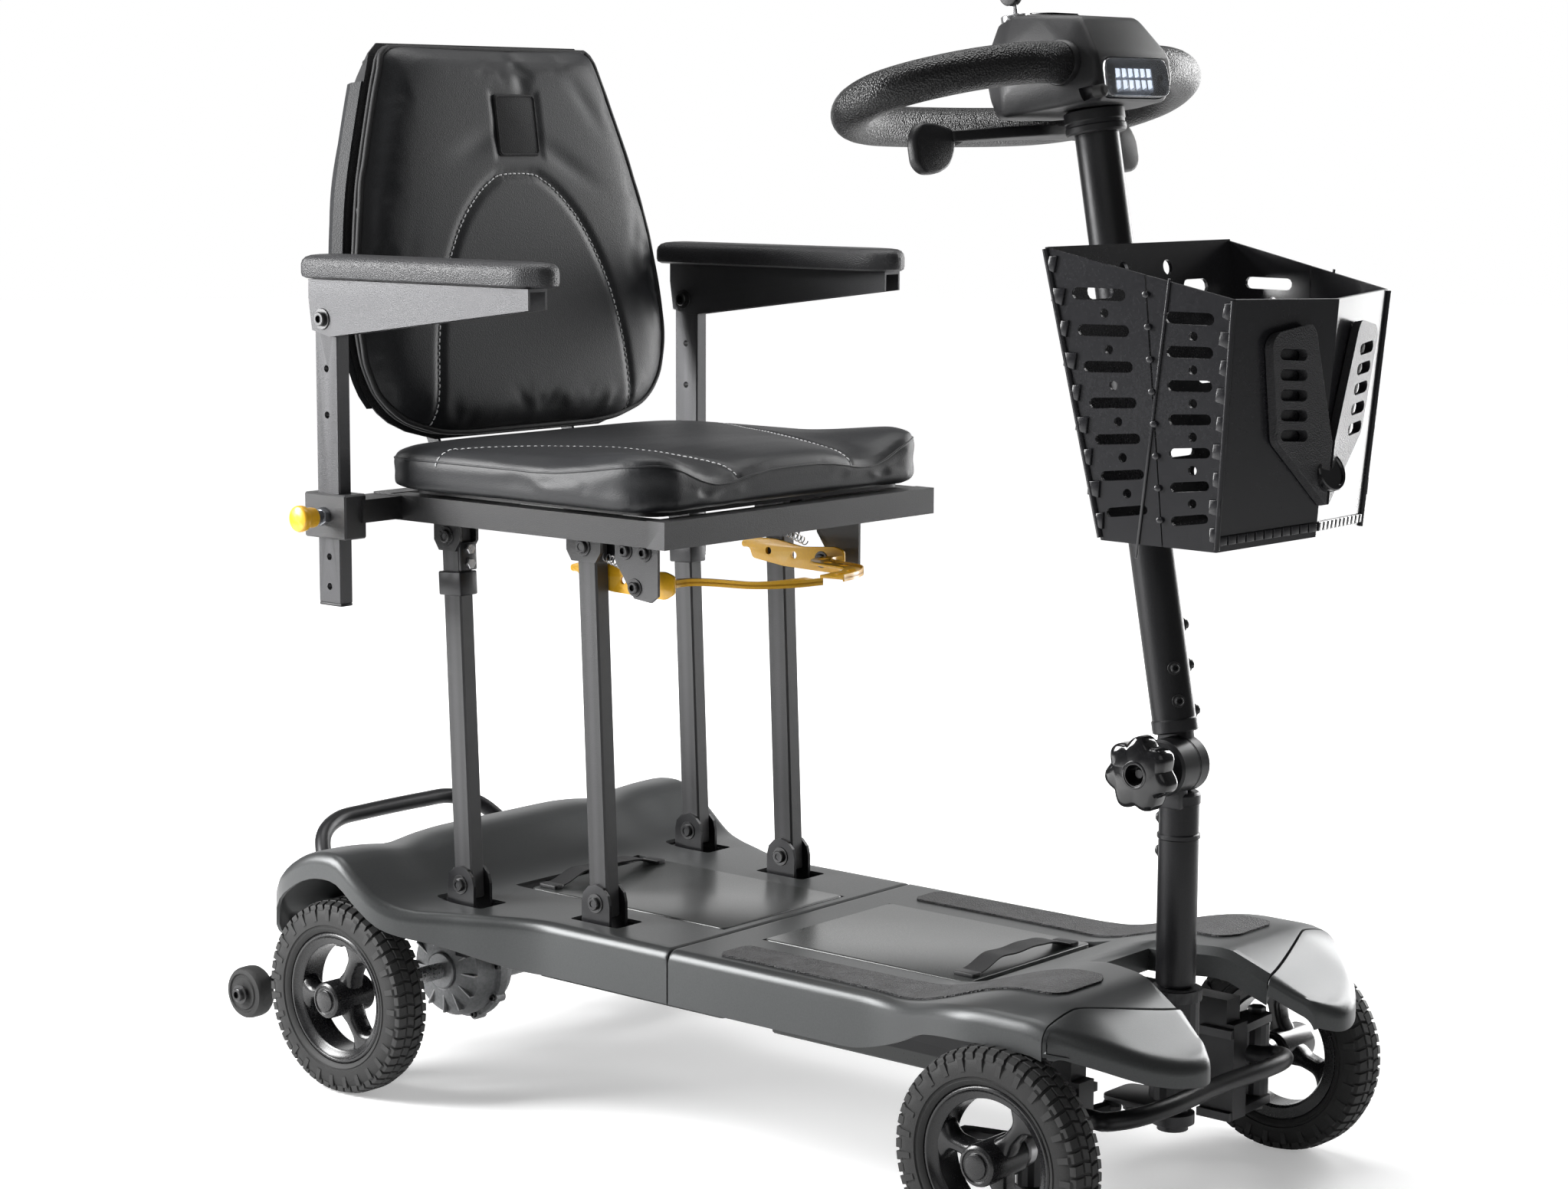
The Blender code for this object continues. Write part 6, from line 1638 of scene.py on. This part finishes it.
def make_deck_hinges():
    """A thin flange plate around each deck hinge, where the legs come out of the cover."""
    flanges = []
    for side, _ in SIDES:
        for x, y in LEGS.values():
            outline = rounded(rectangle(side * x - 0.0205, y - 0.0345, side * x + 0.0205, y + 0.03), 0.005)
            hole = rounded(rectangle(side * x - 0.0164, y - 0.0302, side * x + 0.0164, y + 0.026), 0.004)
            slab = extruded(outline, "Z", 0.17, 0.176)
            flanges.append(combined(slab, [extruded(hole, "Z", 0.15, 0.2)]))
    piece("hinge_flanges", merged(*flanges), "plastic", "chassis", "black_plastic")


def make_levers():
    """Pressed yellow release levers: a hooked plate on its pivot and a slotted arm to the middle."""
    for side, word in SIDES:
        x = side * 0.1125
        plate = extruded(rounded([(-0.1895, 0.4846), (-0.19, 0.479), (-0.199, 0.4795), (-0.203, 0.47),
                                  (-0.24, 0.4655), (-0.3, 0.464), (-0.3105, 0.47), (-0.3105, 0.485),
                                  (-0.3, 0.488), (-0.262, 0.485), (-0.23, 0.4895),
                                  (-0.205, 0.489)], 0.003, 4), "X",
                         x - 0.0014, x + 0.0014, 0.0004, 2)
        holes = [rod(0.0034, (x - 0.01, y, z), (x + 0.01, y, z), 20) for y,
                 z in ((-0.222, 0.478), (-0.252, 0.4765))]
        plate = combined(plate, holes)
        centre_line = [(0.112, -0.301), (0.102, -0.3), (0.088, -0.304), (0.079, -0.314), (0.0735, -0.33),
                       (0.069, -0.352), (0.06, -0.364), (0.04, -0.374), (0.012, -0.379)]
        widths = (0.0095, 0.0095, 0.0095, 0.0085, 0.008, 0.0085, 0.0095, 0.0115, 0.012)
        spine = smooth_path([Vector((a, b, 0)) for a, b in centre_line], 0.003)
        left_edge, right_edge = [], []
        for k, point in enumerate(spine):
            ahead = (spine[min(k + 1, len(spine) - 1)] - spine[max(k - 1, 0)]).normalized()
            out = Vector((-ahead.y, ahead.x, 0))
            place = k / (len(spine) - 1) * (len(widths) - 1)
            n = min(int(place), len(widths) - 2)
            wide = widths[n] + (widths[n + 1] - widths[n]) * (place - n)
            left_edge.append(point + out * wide)
            right_edge.append(point - out * wide)
        outline = [(side * p.x, p.y) for p in left_edge + right_edge[::-1]]
        arm = extruded(outline, "Z", 0.4765, 0.4793, 0.0006, 2)
        slots = []
        for a, b, turn, long in ((0.093, -0.302, 10, 0.013), (0.0765, -0.321, 68, 0.011),
                                 (0.0705, -0.344, 78, 0.011), (0.05, -0.369, 27, 0.015),
                                 (0.026, -0.3765, 12, 0.015)):
            angle = math.radians(turn)
            slot = [(side * (a + u * math.cos(angle) - v * math.sin(angle)),
                     b + u * math.sin(angle) + v * math.cos(angle))
                    for u, v in capsule(long, 0.0065)]
            slots.append(extruded(slot, "Z", 0.46, 0.5))
        arm = combined(arm, slots)
        lip_rows = []
        for p, far in zip(left_edge, right_edge):
            q = p.lerp(far, 0.06)
            lip_rows.append([(side * p.x, p.y, 0.475), (side * p.x, p.y, 0.4812), (side * q.x, q.y, 0.4812),
                             (side * q.x, q.y, 0.475)])
        lip = loft(lip_rows)
        piece(f"release_lever_{word}", merged(plate, arm, lip), "yellow", f"latch_{word}", "yellow",
              f"latch_lever_{word}", edge=0.0003)
        fasteners(f"lever_pivot_{word}", bolt_pair((x, -0.285, 0.4755), 0.0014, 0.005, 0.003),
                  f"latch_{word}")
        plate_bolts = [bolt_head((side * 0.1344, y, z), (side, 0, 0), 0.0052, 0.004)
                       for y, z in ((-0.285, 0.4755), (-0.296, 0.506), (-0.274, 0.506))]
        fasteners(f"side_plate_bolts_{word}", plate_bolts, "seat")
        spring = []
        for k in range(8 * 14 + 1):
            a = 2 * math.pi * k / 14
            spring.append(Vector((side * 0.119 + 0.0035 * math.cos(a), -0.226 - 0.0335 * k / 112,
                                  0.499 + 0.0035 * math.sin(a) - 0.01 * k / 112)))
        piece(f"latch_spring_{word}", tube(spring, 0.0006, 8), "steel", "seat", "steel")


def make_posts():
    """Plunger knobs, clamp bolts, bracket bolts and end plugs of the armrest posts."""
    for side, word in SIDES:
        at = (side * 0.2445, POST_Y, 0.5245)
        cap = turned([(0.006, 0.0105), (0.0084, 0.011), (0.0088, 0.0135), (0.0088, 0.0205),
                      (0.0098, 0.0222), (0.0112, 0.0232), (0.0115, 0.025), (0.0115, 0.0278), (0.011, 0.029),
                      (0.0098, 0.0298), (0.002, 0.03)], (side, 0, 0), at, 44)
        piece(f"plunger_cap_{word}", cap, "yellow", f"plunger_{word}", "yellow", f"post_plunger_{word}")
        stem = turned([(0.003, -0.005), (0.003, 0.011)], (side, 0, 0), at, 24)
        piece(f"plunger_stem_{word}", stem, "steel", f"plunger_{word}", "steel")
        nut = merged(turned([(0.0072, -0.0018), (0.008, -0.0012), (0.008, 0.0034), (0.0072, 0.004)],
                            (side, 0, 0), at, 6),
                     turned([(0.006, 0.0038), (0.006, 0.0092), (0.0054, 0.0098)], (side, 0, 0), at, 28))
        piece(f"plunger_nut_{word}", nut, "chrome", "seat", "steel")
        heads = bolt_pair((side * POST_X, POST_Y, 0.695), 0.0112, 0.0062, 0.0048)
        fasteners(f"bracket_bolts_{word}", heads, f"armrest_{word}")
        plug_low = box((side * POST_X - 0.0068, POST_Y - 0.014, 0.4455),
                       (side * POST_X + 0.0068, POST_Y + 0.014, 0.448),
                       0.0008)
        piece(f"post_plug_{word}", plug_low, "plastic", f"post_{word}", "black_plastic")


def make_front_end():
    """Rubber boots, nuts and hub spindles around the steering."""
    for side, word in SIDES:
        ends = []
        for bx, by in ((side * 0.013, COLUMN_Y + 0.05), (side * 0.173, FRONT_AXLE + 0.05)):
            ends.append(turned([(0.0042, 0.0052), (0.0062, 0.0042), (0.0072, 0.0022), (0.0066, 0.0006)],
                               UPWARDS,
                               (bx, by, 0.08), 24))
            ends.append(turned([(0.0056, -0.012), (0.0056, -0.0075), (0.0062, -0.0068)], UPWARDS,
                               (bx, by, 0.083), 6))
        piece(f"ball_boots_{word}", merged(*ends), "rubber", f"tie_rod_{word}", "black_plastic")
        boss = turned([(0.0125, 0.0), (0.0135, 0.001), (0.0135, 0.0085), (0.012, 0.01)], (side, 0, 0),
                      (side * 0.1685, FRONT_AXLE, WHEEL_RADIUS), 36)
        piece(f"spindle_collar_{word}", boss, "steel", f"knuckle_{word}", "steel")
        pins = [turned([(0.007, 0), (0.0076, 0.0008), (0.0076, 0.0048), (0.0068, 0.0056)], (0, 0, way),
                       (side * 0.16, FRONT_AXLE, z), 6) for z, way in ((0.1262, 1), (0.0488, -1))]
        fasteners(f"kingpin_nuts_{word}", pins, "chassis")


make_tube_bars()
make_drive()
make_packs()
make_leg_fasteners()
make_deck_hinges()
make_levers()
make_posts()
make_front_end()


# ---- camera, light and floor ----------------------------------------------------------------------
scene = bpy.context.scene
CAMERA_AT = (-2.131, -1.815, 0.8585)
HEADING, PITCH, ROLL = math.radians(-49.6467), math.radians(8.1057), math.radians(0.2215)
FOCAL_SHARE = 2.087586    # focal length over the picture's width


def add_camera():
    back = Vector((math.sin(HEADING) * math.cos(PITCH), -math.cos(HEADING) * math.cos(PITCH),
                   math.sin(PITCH)))
    level = (-back).cross(Vector((0, 0, 1))).normalized()
    upright = level.cross(-back)
    right = math.cos(ROLL) * level + math.sin(ROLL) * upright
    up = -math.sin(ROLL) * level + math.cos(ROLL) * upright
    data = bpy.data.cameras.new("camera")
    data.sensor_width = 36.0
    data.lens = 36.0 * FOCAL_SHARE
    data.clip_end = 60
    camera = linked("camera", data)
    turn = Matrix((right, up, back)).transposed().to_4x4()
    camera.matrix_world = Matrix.Translation(CAMERA_AT) @ turn
    scene.camera = camera
    return right, -back


def softbox(name, at, size, power):
    data = bpy.data.lights.new(name, "AREA")
    data.shape = "RECTANGLE"
    data.size, data.size_y = size
    data.energy = power
    lamp = linked(name, data)
    lamp.location = at
    lamp.visible_camera = False
    lamp.rotation_euler = (centre - at).to_track_quat("-Z", "Y").to_euler()


right, ahead = add_camera()
level_ahead = Vector((ahead.x, ahead.y, 0)).normalized()
right = Vector((right.x, right.y, 0)).normalized()
centre = Vector((0, 0, 0.45))
softbox("left_strip", centre - right * 2.0 - level_ahead * 0.15 + Vector((0, 0, 0.8)), (0.8, 1.5), 85)
softbox("right_strip", centre + right * 1.7 + level_ahead * 1.5 + Vector((0, 0, 0.45)), (0.8, 1.9), 46)
softbox("top_box", centre + level_ahead * 0.6 + Vector((0, 0, 2.3)), (2.4, 1.2), 40)
softbox("back_panel", centre + level_ahead * 3.2 + Vector((0, 0, 0.45)), (3.6, 1.3), 13)
softbox("front_fill", centre - level_ahead * 3.0 + Vector((0, 0, 1.3)), (2.4, 1.4), 5)


def add_floor():
    """Pale paper with a painted glow seen only by the camera, weak near the object and full far from it, so
    that it looks white there; it lights nothing itself.
    """
    bm = bmesh.new()
    bmesh.ops.create_circle(bm, cap_ends=True, radius=14.0, segments=96)
    mesh = mesh_from(bm, recalc=False)
    made = bpy.data.materials.new("floor_paper_with_painted_glow")
    made.use_nodes = True
    tree = made.node_tree
    add = adder(tree)
    shader = tree.nodes["Principled BSDF"]
    shader.inputs["Roughness"].default_value = 0.9
    place = add("TexCoord").outputs["Object"]
    mottle = add("TexNoise", {"Scale": 2.0, "Vector": place})
    paper = two_colours(add, mottle.outputs["Fac"], (0.9, 0.9, 0.9), (0.93, 0.93, 0.93))
    tree.links.new(paper, shader.inputs["Base Color"])
    tree.links.new(paper, shader.inputs["Emission Color"])
    away = add("VectorMath", {0: place}, operation="LENGTH").outputs["Value"]
    # Painted glow: the paper's emission grows from 0.35 near the object to full from 2 m away, and only
    # camera rays see it.
    glow = add("MapRange", {"From Min": 0.5, "From Max": 2.0, "To Min": 0.35, "To Max": 1.0, "Value": away})
    shown = add("Math", {0: glow.outputs["Result"], 1: add("LightPath").outputs["Is Camera Ray"]},
                operation="MULTIPLY")
    tree.links.new(shown.outputs["Value"], shader.inputs["Emission Strength"])
    mesh.materials.append(made)
    linked("floor", mesh)


def add_world():
    world = bpy.data.worlds.new("studio")
    scene.world = world
    world.use_nodes = True
    tree = world.node_tree
    add = adder(tree)
    lit = tree.nodes["Background"]
    lit.inputs["Color"].default_value = (1, 1, 1, 1)
    lit.inputs["Strength"].default_value = 0.1
    seen = add("Background", {"Strength": 1.0, "Color": (1, 1, 1, 1)})
    mix = add("MixShader", {"Fac": add("LightPath").outputs["Is Camera Ray"], 1: lit.outputs["Background"],
                            2: seen.outputs["Background"]})
    tree.links.new(mix.outputs["Shader"], tree.nodes["World Output"].inputs["Surface"])


add_floor()
add_world()
scene.view_settings.view_transform = "Standard"
